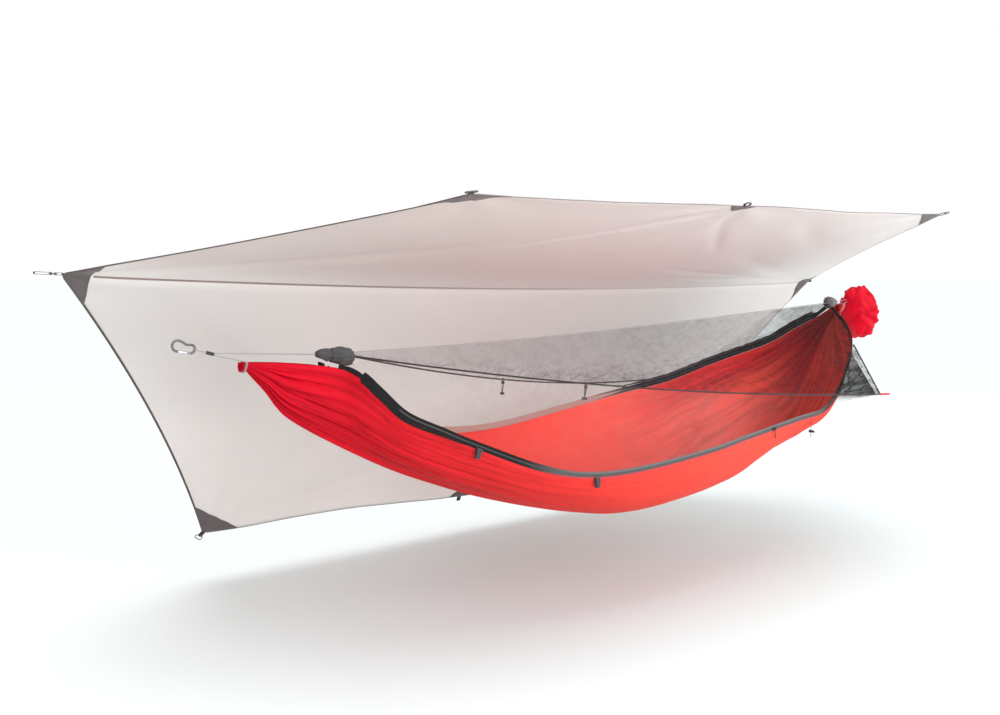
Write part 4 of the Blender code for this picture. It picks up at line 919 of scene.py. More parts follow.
for corner_name in CORNER_SHARES:
    start, outward, wide = tab_frame(corner_name)
    half_gap = TAB_HALF_GAP if corner_name in RINGED else EDGE_TAB_HALF_GAP
    loop = strap_loop(start, outward, wide, TAB_LENGTH, half_gap, WEBBING_WIDTH)
    piece(f"{corner_name}_webbing", loop, black_webbing, "fly", "webbing", replaces=(f"{corner_name}_tab",))
for corner_name in RINGED:
    start, outward, wide = tab_frame(corner_name)
    centre = ring_bar(corner_name) + outward * RING_END_RADIUS
    path = oval(centre, wide, outward, RING_STRAIGHT, RING_END_RADIUS)
    wire = roll(path, [wide.cross(outward)] * len(path), circle(RING_STOCK_RADIUS, RING_SIDES), closed=True)
    body = f"{corner_name}_ring"
    piece(f"{corner_name}_wire_ring", wire, gunmetal, body, "gunmetal", replaces=(body,))
start, outward, wide = tab_frame("head")
pull_start = ring_bar("head") + outward * (2 * RING_END_RADIUS - TAB_HALF_GAP - WEBBING_THICKNESS)
loop = strap_loop(pull_start, outward, wide, PULL_TAB_LENGTH, TAB_HALF_GAP, WEBBING_WIDTH)
piece("ridge_pull_strap", loop, black_webbing, "ridge_pull", "webbing", replaces=("ridge_pull_tab",))


# Hammock shell: one length of thin red nylon, drawn together at both ends, so it hangs as a trough
# whose folds fan out of each gather. The rims carry the zips.
HALF_SPAN = 1.305
GATHER_MEAN_Z = -0.048
GATHER_RISE = 0.040
RIM_HALF_WIDTH = 0.325
RIM_DROP = 0.40
BELLY_DROP = 0.62
BELLY_SHIFT = 0.007
SHELL_THICKNESS = 0.0016
BUNDLE_LENGTH = 0.020
FOLD_HEIGHT = 0.0075
FOLD_COUNT = 3
FOLD_REACH = 0.95
ZIP_WIDTH = 0.020
ZIP_THICKNESS = 0.0016
RIM_HALF_BAND = ZIP_WIDTH / 2 + CLEARANCE
ZIP_START_SHARE = -0.785
ZIP_END_SHARE = 0.935
RUN_START_SHARES = (0.075, 1.0, 0.947)
RUN_END_SHARES = (0.62, 0.79, 0.855)
RUN_STEPS = 4
RUN_SHARES = []
for k in range(RUN_STEPS + 1):
    RUN_SHARES.append(tuple(lerp(a, b, k / RUN_STEPS) for a, b in zip(RUN_START_SHARES, RUN_END_SHARES)))
NEAR_RIM_SHARES = [
    (-1.0, 0.04, 0.0),
    (-0.91, 0.08, 0.02),
    (-0.82, 0.15, 0.06),
    (-0.785, 0.26, 0.13),
    (-0.755, 0.33, 0.24),
    (-0.705, 0.41, 0.41),
    (-0.63, 0.50, 0.54),
    (-0.555, 0.57, 0.66),
    (-0.41, 0.74, 0.87),
    (-0.295, 0.86, 0.965),
    (-0.15, 0.955, 0.98),
    *RUN_SHARES,
    (0.72, 0.71, 0.73),
    (0.79, 0.64, 0.54),
    (0.85, 0.56, 0.35),
    (0.90, 0.38, 0.22),
    (0.94, 0.16, 0.09),
    (1.0, 0.04, 0.0),
]
FAR_RIM_SHARES = [
    (-1.0, 0.04, 0.0),
    (-0.91, 0.08, 0.02),
    (-0.82, 0.15, 0.06),
    (-0.785, 0.26, 0.12),
    (-0.74, 0.36, 0.20),
    (-0.66, 0.47, 0.41),
    (-0.55, 0.60, 0.60),
    (-0.40, 0.74, 0.74),
    (-0.20, 0.88, 0.80),
    (0.03, 0.97, 0.765),
    (0.28, 0.97, 0.69),
    (0.465, 0.90, 0.63),
    (0.62, 0.78, 0.51),
    (0.71, 0.70, 0.445),
    (0.82, 0.52, 0.34),
    (0.89, 0.32, 0.19),
    (0.94, 0.14, 0.08),
    (1.0, 0.04, 0.0),
]
KEEL_SHARES = [
    (-1.0, 0.0, 0.035),
    (-0.96, 0.0, 0.12),
    (-0.91, 0.0, 0.235),
    (-0.763, 0.0, 0.425),
    (-0.588, 0.0, 0.61),
    (-0.33, 0.0, 0.815),
    (-0.077, 0.0, 0.95),
    (0.16, 0.0, 1.0),
    (0.483, 0.0, 0.96),
    (0.70, 0.0, 0.81),
    (0.802, 0.0, 0.68),
    (0.865, 0.0, 0.49),
    (0.91, 0.0, 0.30),
    (0.955, 0.0, 0.14),
    (1.0, 0.0, 0.045),
]
FLATNESS_SHARES = [
    (-1.0, 0.0),
    (-0.1, 0.0),
    (0.12, 0.3),
    (0.33, 0.45),
    (0.48, 0.9),
    (0.70, 1.0),
    (0.85, 0.8),
    (1.0, 0.0),
]


def smooth_curve(points, steps=12):
    """Places on one smooth curve through the points, steps of them on each stretch."""
    ends = [2 * points[0] - points[1], *points, 2 * points[-1] - points[-2]]
    curve = []
    for a, b, c, d in zip(ends, ends[1:], ends[2:], ends[3:]):
        for k in range(steps):
            t = k / steps
            bend = (2 * a - 5 * b + 4 * c - d) * t**2 + (3 * b - a - 3 * c + d) * t**3
            curve.append(0.5 * (2 * b + (c - a) * t + bend))
    return [*curve, points[-1].copy()]


def gather_z(x):
    """Height of the straight line between the two gathers."""
    return GATHER_MEAN_Z + GATHER_RISE * x / HALF_SPAN


def guide(shares, half_width, drop):
    """A smooth rim or keel: each row is a share of the half span, of the half width and of the drop."""
    points = []
    for x, y, z in shares:
        points.append(Vector((x * HALF_SPAN, y * half_width, gather_z(x * HALF_SPAN) - z * drop)))
    return smooth_curve(points)


GUIDES = {
    "near": guide(NEAR_RIM_SHARES, -RIM_HALF_WIDTH, RIM_DROP),
    "far": guide(FAR_RIM_SHARES, RIM_HALF_WIDTH, RIM_DROP),
    "keel": guide(KEEL_SHARES, RIM_HALF_WIDTH, BELLY_DROP),
    "flatness": [Vector((x * HALF_SPAN, 0, flatness)) for x, flatness in FLATNESS_SHARES],
}
SIGNS = {"near": -1, "far": 1}


@functools.cache
def at_x(name, x):
    """The place where a guide passes x."""
    curve = GUIDES[name]
    k = max(1, min(len(curve) - 1, bisect.bisect_left(curve, x, key=lambda place: place.x)))
    a, b = curve[k - 1], curve[k]
    return a.lerp(b, (x - a.x) / (b.x - a.x))


@functools.cache
def rim_frame(side, x):
    """The rim's place at x, its tangent, and the direction across the zip, which leans up."""
    step = ZIP_WIDTH / 4
    along = (at_x(side, x + step) - at_x(side, x - step)).normalized()
    return at_x(side, x), along, (Z - along * Z.dot(along)).normalized()


def rim_edge(side, x, offset):
    """A place beside the rim, offset across the zip."""
    place, _, across = rim_frame(side, x)
    return place + across * offset


PLEAT_HEIGHT = 0.0060
PLEAT_REACH = 0.42
VALLEY_DEPTH = 0.0150
VALLEY_WIDTH = 0.32
VALLEY_REACH = 0.95
VALLEY_COUNT = 9
PLEAT_WAVES = [(11, 2.5, 1.0), (21, 4.0, 0.6)]
PLEAT_FAN = 0.6
PLEAT_GROWTH = 0.10
PLEAT_START_HEIGHT = 0.12
WRINKLE_COUNT = 14.0
WRINKLE_HEIGHT = 0.8
SHELL_SLACK = 0.5
SHELL_COLUMNS = 264
SHELL_ROWS = 150


def pleats(x, share):
    """The fine folds: narrow ones at a gather, which run together and die out, and long sharp valleys."""
    gap = max(0.0, HALF_SPAN - abs(x))
    grown = min(1.0, gap / PLEAT_GROWTH)
    fan = 1 + gap * PLEAT_FAN
    end_seed = math.copysign(3.0, x)
    lead = noise.noise(Vector((share * 4.0 / fan, end_seed, gap * PLEAT_FAN)))
    wave = 0.0
    for count, wander, height in PLEAT_WAVES:
        wave += height * math.sin(count * share * math.pi / fan + wander * lead)
    wave += WRINKLE_HEIGHT * noise.noise(Vector((share * WRINKLE_COUNT / fan, 3 * end_seed, gap * 2.0)))
    slack = SHELL_SLACK * noise.noise(Vector((x * 4.0, share * 3.0, 7.0)))
    edge = 1 - share**8
    drift = noise.noise(Vector((share * 2.0, end_seed, gap * 1.1)))
    line = abs(math.sin(VALLEY_COUNT * share * math.pi / 2 + 3.0 * drift + 0.8 * gap))
    patchy = 0.6 + 0.8 * noise.noise(Vector((share * 5.0, 5.0, gap * 2.5)))
    depth = max(0.0, 1 - line / VALLEY_WIDTH) * patchy
    valley = VALLEY_DEPTH * grown * depth * math.exp(-((gap / VALLEY_REACH) ** 2))
    start = PLEAT_START_HEIGHT + (1 - PLEAT_START_HEIGHT) * grown
    fine = PLEAT_HEIGHT * (wave * start * math.exp(-gap / PLEAT_REACH) + slack * grown)
    return edge * (fine - valley)


def shell_section(x, share):
    """A place on the shell: share runs from -1 at the near zip, over the keel at 0, to 1 at the far zip."""
    inner = max(-HALF_SPAN, min(HALF_SPAN, x))
    low = at_x("keel", inner)
    zip_end_share = ZIP_END_SHARE if inner > 0 else -ZIP_START_SHARE
    zipped = min(1.0, (HALF_SPAN - abs(inner)) / (HALF_SPAN * (1 - zip_end_share)))
    high = rim_edge("far" if share > 0 else "near", inner, -(RIM_HALF_BAND + CLEARANCE) * zipped)
    turn = abs(share) * math.pi / 2
    lean = (high.x - inner) * math.sin(turn) ** 2
    y = BELLY_SHIFT * math.cos(turn) + high.y * math.sin(turn)
    rise = 1 - math.cos(turn)
    rise += (math.sin(turn) - rise) * at_x("flatness", inner).z * (1 - share**4)
    z = low.z + (high.z - low.z) * rise
    from_gather = min(1.0, (HALF_SPAN - abs(inner)) / FOLD_REACH)
    fold = FOLD_HEIGHT * math.sin(math.pi * from_gather**0.6) * max(0.0, math.cos(turn)) ** 0.5
    height = fold * math.sin(math.pi * FOLD_COUNT * share) + pleats(inner, share)
    outward = Vector((0, math.sin(turn) * math.copysign(1, share), -math.cos(turn)))
    return Vector((x + lean, y, z)) + outward * height


def stretched(tree, vector, factors):
    """A coordinate drawn out by a factor along each axis."""
    scaled = tree.nodes.new("ShaderNodeVectorMath")
    scaled.operation = "MULTIPLY"
    scaled.inputs[1].default_value = factors
    tree.links.new(vector, scaled.inputs[0])
    return scaled.outputs[0]


def sharpened(tree, height, power):
    """Only the tops of a height, the narrower the higher the power."""
    return maths(tree, "POWER", maths(tree, "MAXIMUM", height, 0.0), power)


# Shell colour: painted light makes it brighter towards the foot and along the far side, and painted shade
# makes it deeper in the upper far side toward the foot and at the far side's foot end
SHELL_CUT = (2.70, 0.94)
RED_DEEP = (0.58, 0.004, 0.018)
RED_PAINTED_LIGHT = (0.84, 0.075, 0.050)
RED_THREAD = 0.0007
RED_GRID = 0.005
RED_THREAD_RISE = 0.00004
RED_GRID_LINE_GAIN = -0.05
LIT_EDGES = (-1.3, 0.5)
FAR_SIDE_EDGES = (0.0, 0.12)
UPPER_EDGES = (0.24, 0.36)
SHELL_FOOT_EDGES = (0.30, 0.75)
SHELL_END_EDGES = (0.98, 1.20)
SHELL_MIDDLE_EDGES = (0.75, 1.10)
DEEP_LIT_GAIN = -0.62
SHELL_FOOT_SHADE_GAIN = -0.05
SHELL_END_SHADE_GAIN = -0.45
SHELL_MIDDLE_LIGHT_GAIN = 0.20
STREAK_STRETCH = (0.10, 1.0, 1.0)
STREAK_SHARPNESS = 4.0
STREAK_EDGES = (0.15, 0.95)
STREAK_SHADE_GAIN = -0.40
STREAK_BASE = 1.05
SHELL_FOLD_RISE = 0.0010
STREAK_RISE = 0.0012
red_finish, tree, shader, cut, place = new_finish("red_cloth", 0.6, specular=0.06)
cloth = effect(tree, ripstop, Cloth=cut, Thread=RED_THREAD, Grid=RED_GRID)
shade = mottled(tree, cut, scale=4.0, amount=0.16)
along, across = split(tree, place)[0], split(tree, cut)[1]
# Painted light: the red turns brighter and more orange towards the foot.
lit = fade(tree, along, *LIT_EDGES)
shade = maths(tree, "MULTIPLY_ADD", cloth["Grid lines"], RED_GRID_LINE_GAIN, shade)
# Painted shade deepens the upper far side toward the foot and the far side's foot end; painted light
# brightens the rest of the far side.
far_side = fade(tree, across, *FAR_SIDE_EDGES)
upper_part = fade(tree, across, *UPPER_EDGES)
painted_foot_shade = maths(tree, "MULTIPLY", upper_part, fade(tree, along, *SHELL_FOOT_EDGES))
painted_end_shade = maths(tree, "MULTIPLY", far_side, fade(tree, along, *SHELL_END_EDGES))
painted_middle_light = maths(tree, "MULTIPLY", far_side, inverse(tree, fade(tree, along, *SHELL_MIDDLE_EDGES)))
lit = vary(tree, lit, maths(tree, "MAXIMUM", painted_foot_shade, painted_end_shade), DEEP_LIT_GAIN)
shade = vary(tree, shade, painted_foot_shade, SHELL_FOOT_SHADE_GAIN)
shade = vary(tree, shade, painted_end_shade, SHELL_END_SHADE_GAIN)
shade = vary(tree, shade, painted_middle_light, SHELL_MIDDLE_LIGHT_GAIN)
# Painted shade: long crease lines near both gathers are darker, and the rest a little lighter; the same
# crinkles also raise the surface.
drawn = stretched(tree, cut, STREAK_STRETCH)
streaks = crinkled(tree, drawn, scale=16.0)
ends = fade(tree, maths(tree, "ABSOLUTE", along), *STREAK_EDGES)
lines = maths(tree, "MULTIPLY", sharpened(tree, streaks, STREAK_SHARPNESS), ends)
shade = vary(tree, shade, lines, STREAK_SHADE_GAIN, STREAK_BASE)
tint(tree, shader, RED_DEEP, shade, RED_PAINTED_LIGHT, lit)
folds = crinkled(tree, cut, scale=9.0)
heights = ((cloth["Height"], RED_THREAD_RISE), (folds, SHELL_FOLD_RISE), (streaks, STREAK_RISE))
emboss(tree, shader, *heights)


def flat_cut(size):
    """The flat places of a cloth that is cut as a rectangle."""
    return lambda u, v: (u * size[0] / 2, v * size[1] / 2)


end = HALF_SPAN + BUNDLE_LENGTH
shell = drape(SHELL_COLUMNS, SHELL_ROWS, flat_cut(SHELL_CUT), lambda u, v: shell_section(u * end, v))
shell_cloth = piece("shell_cloth", shell, red_finish, "hammock", "red_cloth", replaces=("hammock_shell",))
thicken(shell_cloth, SHELL_THICKNESS)


# Suspension: at each end a D-shaped wire-gate carabiner holds an eye of grey cord, which a black
# ferrule clamps. One cord runs on from it to draw the shell's end shut, and the other is the net's
# ridge cord.
HANG_HALF_SPAN = 1.50
HANG_RISE = 0.035
CORD_RISE = 0.012
CORD_RADIUS = 0.00125
CARABINER_LENGTH = 0.058
STRAP_BOW_RADIUS = 0.0130
CORD_BOW_RADIUS = 0.0100
STOCK_RADIUS = 0.0030
DENT_DEPTH = 0.0034
DENT_SPREAD = 0.0085
GATE_RADIUS = 0.0025
GATE_HINGE_PLACE = 0.0430
GATE_NOSE_PLACE = 0.0170
GATE_TAIL = 0.0018
GATE_PIN_RADIUS = 0.0009
CHEEK_LENGTH = 0.0100
CHEEK_HEIGHT = 0.0050
CHEEK_THICKNESS = 0.0014
CHEEK_ROUND = 0.0005
GATE_PIN_ROUND = 0.0003
GATE_ROUND = 0.0008
CORD_BOW_STEPS = 20
SPINE_STEPS = 16
STRAP_BOW_STEPS = 24
STOCK_SIDES = 24
DENT_PLACE = 1.6
EYE_STEPS = 8
FERRULE_LENGTH = 0.020
FERRULE_RADIUS = 0.0044
FERRULE_CRIMP_SHARES = (0.25, 0.5, 0.75)
FERRULE_CRIMP_DEPTH = 0.0005
FERRULE_CRIMP_HALF_WIDTH = 0.0012
FERRULE_CRIMP_HALF_FLOOR = 0.0007
FERRULE_LIP = 0.001
FERRULE_LIP_BREAK = 0.0003
FERRULE_PLACE = 0.088
CORD_PAIR_OFFSET = 0.0022
EYE_SPREAD_SHARE = 1.6
WRAP_TURNS = 2
WRAP_PITCH = 0.0032
WRAP_STEPS = 26
BUNDLE_POINTS = 60
RIDGE_CORD_SAG = 0.022
RIDGE_CORD_STEPS = 160
SAG_LEAN_SHARE = 1.45
GREY_CORD_COLOUR = (0.34, 0.335, 0.33)
BLACK_CORD_COLOUR = (0.03, 0.027, 0.027)
BLACK_PLASTIC_COLOUR = (0.02, 0.02, 0.02)
HEAD_CAP_LENGTH = 0.105
FOOT_CAP_LENGTH = 0.055
NET_START_SHARE = -0.77
NET_START = NET_START_SHARE * HALF_SPAN
ZIP_END = ZIP_END_SHARE * HALF_SPAN


def suspension(end):
    """The strap bearing point, the direction to the hammock, and the direction up across it."""
    sign = -1 if end == "head" else 1
    hang = Vector((sign * HANG_HALF_SPAN, 0, sign * HANG_RISE))
    gather = Vector((sign * (HALF_SPAN + BUNDLE_LENGTH), 0, gather_z(sign * HALF_SPAN) + CORD_RISE / 2))
    along = (gather - hang).normalized()
    up = (Z - along * Z.dot(along)).normalized()
    return hang, along, up


def gate_line(a):
    """Half height of the carabiner at a place along it."""
    share = (a - STRAP_BOW_RADIUS) / (CARABINER_LENGTH - STRAP_BOW_RADIUS - CORD_BOW_RADIUS)
    return lerp(STRAP_BOW_RADIUS, CORD_BOW_RADIUS, share)


def turned(start, direction, profile, steps=24):
    """A turned piece: each row of the profile is a place along its axis and the radius there."""
    bm = bmesh.new()
    side = direction.orthogonal().normalized()
    verts = [bm.verts.new(start + direction * a + side * r) for a, r in profile]
    edges = [bm.edges.new(pair) for pair in zip(verts, verts[1:])]
    bmesh.ops.spin(
        bm, geom=[*verts, *edges], cent=start, axis=direction, angle=2 * math.pi, steps=steps, use_merge=True
    )
    bmesh.ops.remove_doubles(bm, verts=bm.verts[:], dist=1e-6)
    bmesh.ops.recalc_face_normals(bm, faces=bm.faces[:])
    return bm


ROUND_STEPS = 5


def rounded(length, radius, round_over):
    """The profile of a rod with rounded ends."""
    profile = [(0.0, 0.0)]
    for k in range(ROUND_STEPS + 1):
        turn = math.pi / 2 * k / ROUND_STEPS
        edge = (round_over * (1 - math.cos(turn)), radius - round_over * (1 - math.sin(turn)))
        profile.append(edge)
    return [*profile, *[(length - a, r) for a, r in reversed(profile)]]


def block(centre, axes, sizes, round_over):
    """A moulded block with rounded edges, its sizes given along three axes."""
    bm = bmesh.new()
    bmesh.ops.create_cube(bm, size=1)
    bmesh.ops.scale(bm, verts=bm.verts[:], vec=sizes)
    bmesh.ops.bevel(
        bm, geom=bm.edges[:], offset=round_over, segments=3, affect="EDGES", profile=0.5, material=-1
    )
    turn = Matrix(axes).transposed().to_4x4()
    bmesh.ops.transform(bm, matrix=Matrix.Translation(centre) @ turn, verts=bm.verts[:])
    bmesh.ops.recalc_face_normals(bm, faces=bm.faces[:])
    return bm


def carried(path):
    """Cross directions that turn with a path and never twist about it."""
    sides = []
    side = None
    for direction in tangents(path):
        side = direction.orthogonal() if side is None else side - direction * side.dot(direction)
        side.normalize()
        sides.append(side.copy())
    return sides


# Net threads: two crossing sets of fine threads, with the cloth's open share between them
NET_CELL = 0.0016
NET_THREAD_EDGES = (0.26, 0.42)
knitted, takes, gives = new_effect("net_threads", {"Cloth": None, "Cell": NET_CELL}, ("Cover",))
run, rise = split(knitted, takes["Cloth"])
sets = []
for lean in (1.0, -1.0):
    slanted = maths(knitted, "DIVIDE", maths(knitted, "MULTIPLY_ADD", rise, lean, run), takes["Cell"])
    cell = off_middle(knitted, maths(knitted, "FRACT", slanted))
    sets.append(fade(knitted, cell, *NET_THREAD_EDGES))
knitted.links.new(maths(knitted, "MAXIMUM", *sets), gives["Cover"])


STRAND_RISE = 0.0002
STRAND_GAIN = 0.5
STRAND_BASE = 0.72
PLASTIC_WORN_SHARE = 0.4
PLASTIC_WORN_ROUGHNESS = 0.2
PLASTIC_GRAIN_RISE = 0.00006


def cord_finish(name, colour, strand=0.0011):
    """Braided cord: crossing strands that stand proud, with painted shade darkening the hollows between them.
    """
    material, tree, shader, cut, place = new_finish(name, 0.7, sheen=0.2)
    strands = effect(tree, knitted, Cloth=cut, Cell=strand)["Cover"]
    shade = mottled(tree, place, scale=60.0, amount=0.4)
    tint(tree, shader, colour, vary(tree, shade, strands, STRAND_GAIN, STRAND_BASE))
    emboss(tree, shader, (strands, STRAND_RISE))
    return material


def plastic_finish(name, colour, roughness):
    """Moulded plastic: a fine grain, and worn patches rubbed a little paler."""
    material, tree, shader, cut, place = new_finish(name, roughness)
    scuffs = effect(tree, scuffed, Place=place, Scale=260.0)
    shade = mottled(tree, place, scale=120.0, amount=0.5)
    worn = tuple(min(1.0, 3.0 * c + 0.02) for c in colour)
    tint(tree, shader, colour, shade, worn, maths(tree, "MULTIPLY", scuffs["Worn"], PLASTIC_WORN_SHARE))
    rough = maths(tree, "MULTIPLY_ADD", scuffs["Worn"], PLASTIC_WORN_ROUGHNESS, roughness)
    tree.links.new(rough, shader.inputs["Roughness"])
    emboss(tree, shader, (scuffs["Height"], PLASTIC_GRAIN_RISE))
    return material


grey_cord = cord_finish("grey_cord", GREY_CORD_COLOUR)
black_cord = cord_finish("black_cord", BLACK_CORD_COLOUR)
black_plastic = plastic_finish("black_plastic", BLACK_PLASTIC_COLOUR, roughness=0.40)


def ridge_cord_place(x):
    """A place on the cord over the net, which hangs a little below straight."""
    share = (x + HALF_SPAN) / (2 * HALF_SPAN)
    sag = RIDGE_CORD_SAG * 4 * share * (1 - share) * (SAG_LEAN_SHARE - share)
    return Vector((x, 0, gather_z(x) + CORD_RISE - sag))


def ferrule_exit(end, offset):
    """A place just off the ferrule's hammock side, offset up."""
    hang, along, up = suspension(end)
    return hang + along * (FERRULE_PLACE + FERRULE_LENGTH + CLEARANCE) + up * offset


def cord_piece(name, path, radius, material, body, slot, replaced, sides=12):
    """A round cord along a path, as a piece."""
    strand = roll(path, carried(path), circle(radius, sides))
    return piece(name, strand, material, body, slot, replaces=replaced)


for end in ("head", "foot"):
    hang, along, up = suspension(end)
    across = along.cross(up)
    cord_centre = CARABINER_LENGTH - CORD_BOW_RADIUS
    tail = GATE_HINGE_PLACE + GATE_TAIL + GATE_RADIUS / 2 + CLEARANCE

    def at(a, b):
        """A place in the carabiner's plane: a along it from the strap, and b up across it."""
        return hang + along * a + up * b

    path = [at(tail, -gate_line(tail))]
    for k in range(CORD_BOW_STEPS + 1):
        turn = math.pi * k / CORD_BOW_STEPS - math.pi / 2
        path.append(at(cord_centre + CORD_BOW_RADIUS * math.cos(turn), CORD_BOW_RADIUS * math.sin(turn)))
    for k in range(1, SPINE_STEPS):
        a = lerp(cord_centre, STRAP_BOW_RADIUS, k / SPINE_STEPS)
        dent = DENT_DEPTH * math.exp(-(((a - cord_centre + DENT_PLACE * DENT_SPREAD) / DENT_SPREAD) ** 2))
        path.append(at(a, gate_line(a) - dent))
    for k in range(STRAP_BOW_STEPS + 1):
        turn = math.pi * k / STRAP_BOW_STEPS + math.pi / 2
        path.append(at(STRAP_BOW_RADIUS * (1 + math.cos(turn)), STRAP_BOW_RADIUS * math.sin(turn)))
    nose = at(GATE_NOSE_PLACE, -gate_line(GATE_NOSE_PLACE))
    path.append(nose)
    stock = roll(path, [across] * len(path), circle(STOCK_RADIUS, STOCK_SIDES))
    piece(f"{end}_carabiner_body", stock, gunmetal, "fly", "gunmetal", replaces=(f"{end}_carabiner",))
    pivot = at(GATE_HINGE_PLACE, -gate_line(GATE_HINGE_PLACE))
    slope = (at(tail, -gate_line(tail)) - nose).normalized()
    rise = across.cross(slope)
    for label, sign in (("near", -1), ("far", 1)):
        centre = pivot + slope * (CHEEK_LENGTH / 2 - CHEEK_HEIGHT / 2)
        centre += across * (sign * (GATE_RADIUS + CLEARANCE + CHEEK_THICKNESS / 2))
        sizes = (CHEEK_LENGTH, CHEEK_HEIGHT, CHEEK_THICKNESS)
        cheek = block(centre, (slope, rise, across), sizes, CHEEK_ROUND)
        piece(f"{end}_{label}_cheek", cheek, gunmetal, "fly", "gunmetal")
    half_pin = GATE_RADIUS + CLEARANCE + CHEEK_THICKNESS + CLEARANCE
    pin_profile = rounded(2 * half_pin, GATE_PIN_RADIUS, GATE_PIN_ROUND)
    pin = turned(pivot - across * half_pin, across, pin_profile, steps=16)
    piece(f"{end}_gate_pin", pin, steel, "fly", "steel")
    reach = (nose + slope * CLEARANCE - pivot).length + GATE_TAIL
    gate = turned(pivot + slope * GATE_TAIL, -slope, rounded(reach, GATE_RADIUS, GATE_ROUND))
    piece(f"{end}_gate_bar", gate, steel, f"{end}_gate", "steel", replaces=(f"{end}_gate",))

    bar = hang + along * CARABINER_LENGTH
    eye = STOCK_RADIUS + 2 * CLEARANCE + CORD_RADIUS
    face = hang + along * (FERRULE_PLACE - CLEARANCE)
    leg = across * (CORD_RADIUS + CLEARANCE)
    spread = leg * EYE_SPREAD_SHARE
    path = [face + leg, face.lerp(bar, 0.5) + spread, *arc(bar, across, -along, eye, EYE_STEPS)]
    path += [face.lerp(bar, 0.5) - spread, face - leg]
    eye_curve = smooth_curve(path, steps=5)
    cord_piece(f"{end}_eye", eye_curve, CORD_RADIUS, grey_cord, "hammock", "grey_cord", (f"{end}_eye_cord",))

    floor_radius = FERRULE_RADIUS - FERRULE_CRIMP_DEPTH
    lip = [
        (0, 0),
        (0, FERRULE_RADIUS - FERRULE_LIP),
        (FERRULE_LIP_BREAK, FERRULE_RADIUS - FERRULE_LIP_BREAK),
        (FERRULE_LIP, FERRULE_RADIUS),
    ]
    crimp = [
        (-FERRULE_CRIMP_HALF_WIDTH, FERRULE_RADIUS),
        (-FERRULE_CRIMP_HALF_FLOOR, floor_radius),
        (FERRULE_CRIMP_HALF_FLOOR, floor_radius),
        (FERRULE_CRIMP_HALF_WIDTH, FERRULE_RADIUS),
    ]
    profile = [*lip]
    for share in FERRULE_CRIMP_SHARES:
        profile += [(share * FERRULE_LENGTH + a, r) for a, r in crimp]
    profile += [(FERRULE_LENGTH - a, r) for a, r in reversed(lip)]
    ferrule = turned(hang + along * FERRULE_PLACE, along, profile)
    piece(f"{end}_clamp", ferrule, black_plastic, "hammock", "black_plastic", replaces=(f"{end}_ferrule",))

    sign = -1 if end == "head" else 1
    middle = sign * (HALF_SPAN + BUNDLE_LENGTH / 2)
    bundle = [shell_section(middle, 2 * k / BUNDLE_POINTS - 1) for k in range(BUNDLE_POINTS + 1)]
    clear = SHELL_THICKNESS / 2 + 2 * CLEARANCE + CORD_RADIUS
    over = max(place.z for place in bundle) + clear + CORD_RADIUS
    path = [ferrule_exit(end, -CORD_PAIR_OFFSET), Vector((middle + sign * BUNDLE_LENGTH / 4, 0, over))]
    steps = WRAP_STEPS * WRAP_TURNS
    for k in range(steps):
        turn = math.pi / 2 + 2 * math.pi * WRAP_TURNS * (k + 0.5) / steps
        outward = Vector((0, math.cos(turn), math.sin(turn)))
        drift = sign * WRAP_PITCH * (0.5 * WRAP_TURNS - WRAP_TURNS * k / steps)
        path.append(max(bundle, key=outward.dot) + outward * clear + X * drift)
    for _ in range(2):
        path = [path[0], *[(a + 2 * b + c) / 4 for a, b, c in zip(path, path[1:], path[2:])], path[-1]]
    wrap = smooth_curve(path, steps=3)
    cord_piece(f"{end}_gather", wrap, CORD_RADIUS, grey_cord, "hammock", "grey_cord", (f"{end}_gather_cord",))

path = [ferrule_exit("head", CORD_PAIR_OFFSET)]
for k in range(RIDGE_CORD_STEPS + 1):
    x = lerp(NET_START - HEAD_CAP_LENGTH, ZIP_END + FOOT_CAP_LENGTH, k / RIDGE_CORD_STEPS)
    path.append(ridge_cord_place(x))
path.append(ferrule_exit("foot", CORD_PAIR_OFFSET))
cord_piece("ridge_line", path, CORD_RADIUS, grey_cord, "hammock", "grey_cord", ("ridge_cord",))


# Rim zips: two woven tapes with a nylon coil between them, sewn to the shell below and to the net
# above. The near one has a flap at the head, and the hems of the shell and the net lie over its
# edges along the middle.
TAPE_THICKNESS = 0.0010
ZIP_STEPS = 260
COIL_WIDTH = 0.0046
COIL_HEIGHT = 0.0018
COIL_PITCH = 0.0032
FLAP_WIDTH = 0.011
FLAP_END_SHARE = -0.58
FLAP_LIFT = 0.0026
HEM_START_SHARE = -0.42
HEM_END_SHARE = 0.66
HEM_STRIP_WIDTH = 0.0062
HEM_STRIP_THICKNESS = 0.0009
INNER_HEM_SHARES = (-0.50, 0.29)
BAND_SHARES = (0.27, 0.93)
BAND_WIDTH = 0.010
BAND_START_SHARES = (-0.822, -0.72)
BAND_START_STEPS = 60
BAND_START_RISE = -0.004
BAND_START_LIFT = 0.0018
BAND_END_SHARES = (ZIP_END_SHARE - 0.012, ZIP_END_SHARE)
BAND_END_STEPS = 24
BAND_END_REACH = 0.010
BAND_END_DROP = 0.008
BAND_END_NARROWING = 0.75
TAPE_COLOUR = (0.013, 0.012, 0.012)
NEAR_TAPE_OVER_COLOUR = (0.12, 0.115, 0.115)
FAR_TAPE_OVER_COLOUR = (0.20, 0.13, 0.12)
FAR_TAPE_OVER_SHARES = (-0.6, 0.30)
TAPE_OVER_RUN_IN = 0.12
TAPE_OVER_RUN_OUT = 0.06
TAPE_RIB_GAIN = 0.4
TAPE_RIB_BASE = 0.75
TAPE_RIB_RISE = 0.0002
TAPE_STITCH_INSET = 0.0030
COIL_COLOUR = (0.035, 0.033, 0.033)
COIL_DIP = (0.7, 0.65)
COIL_SIDES = 8


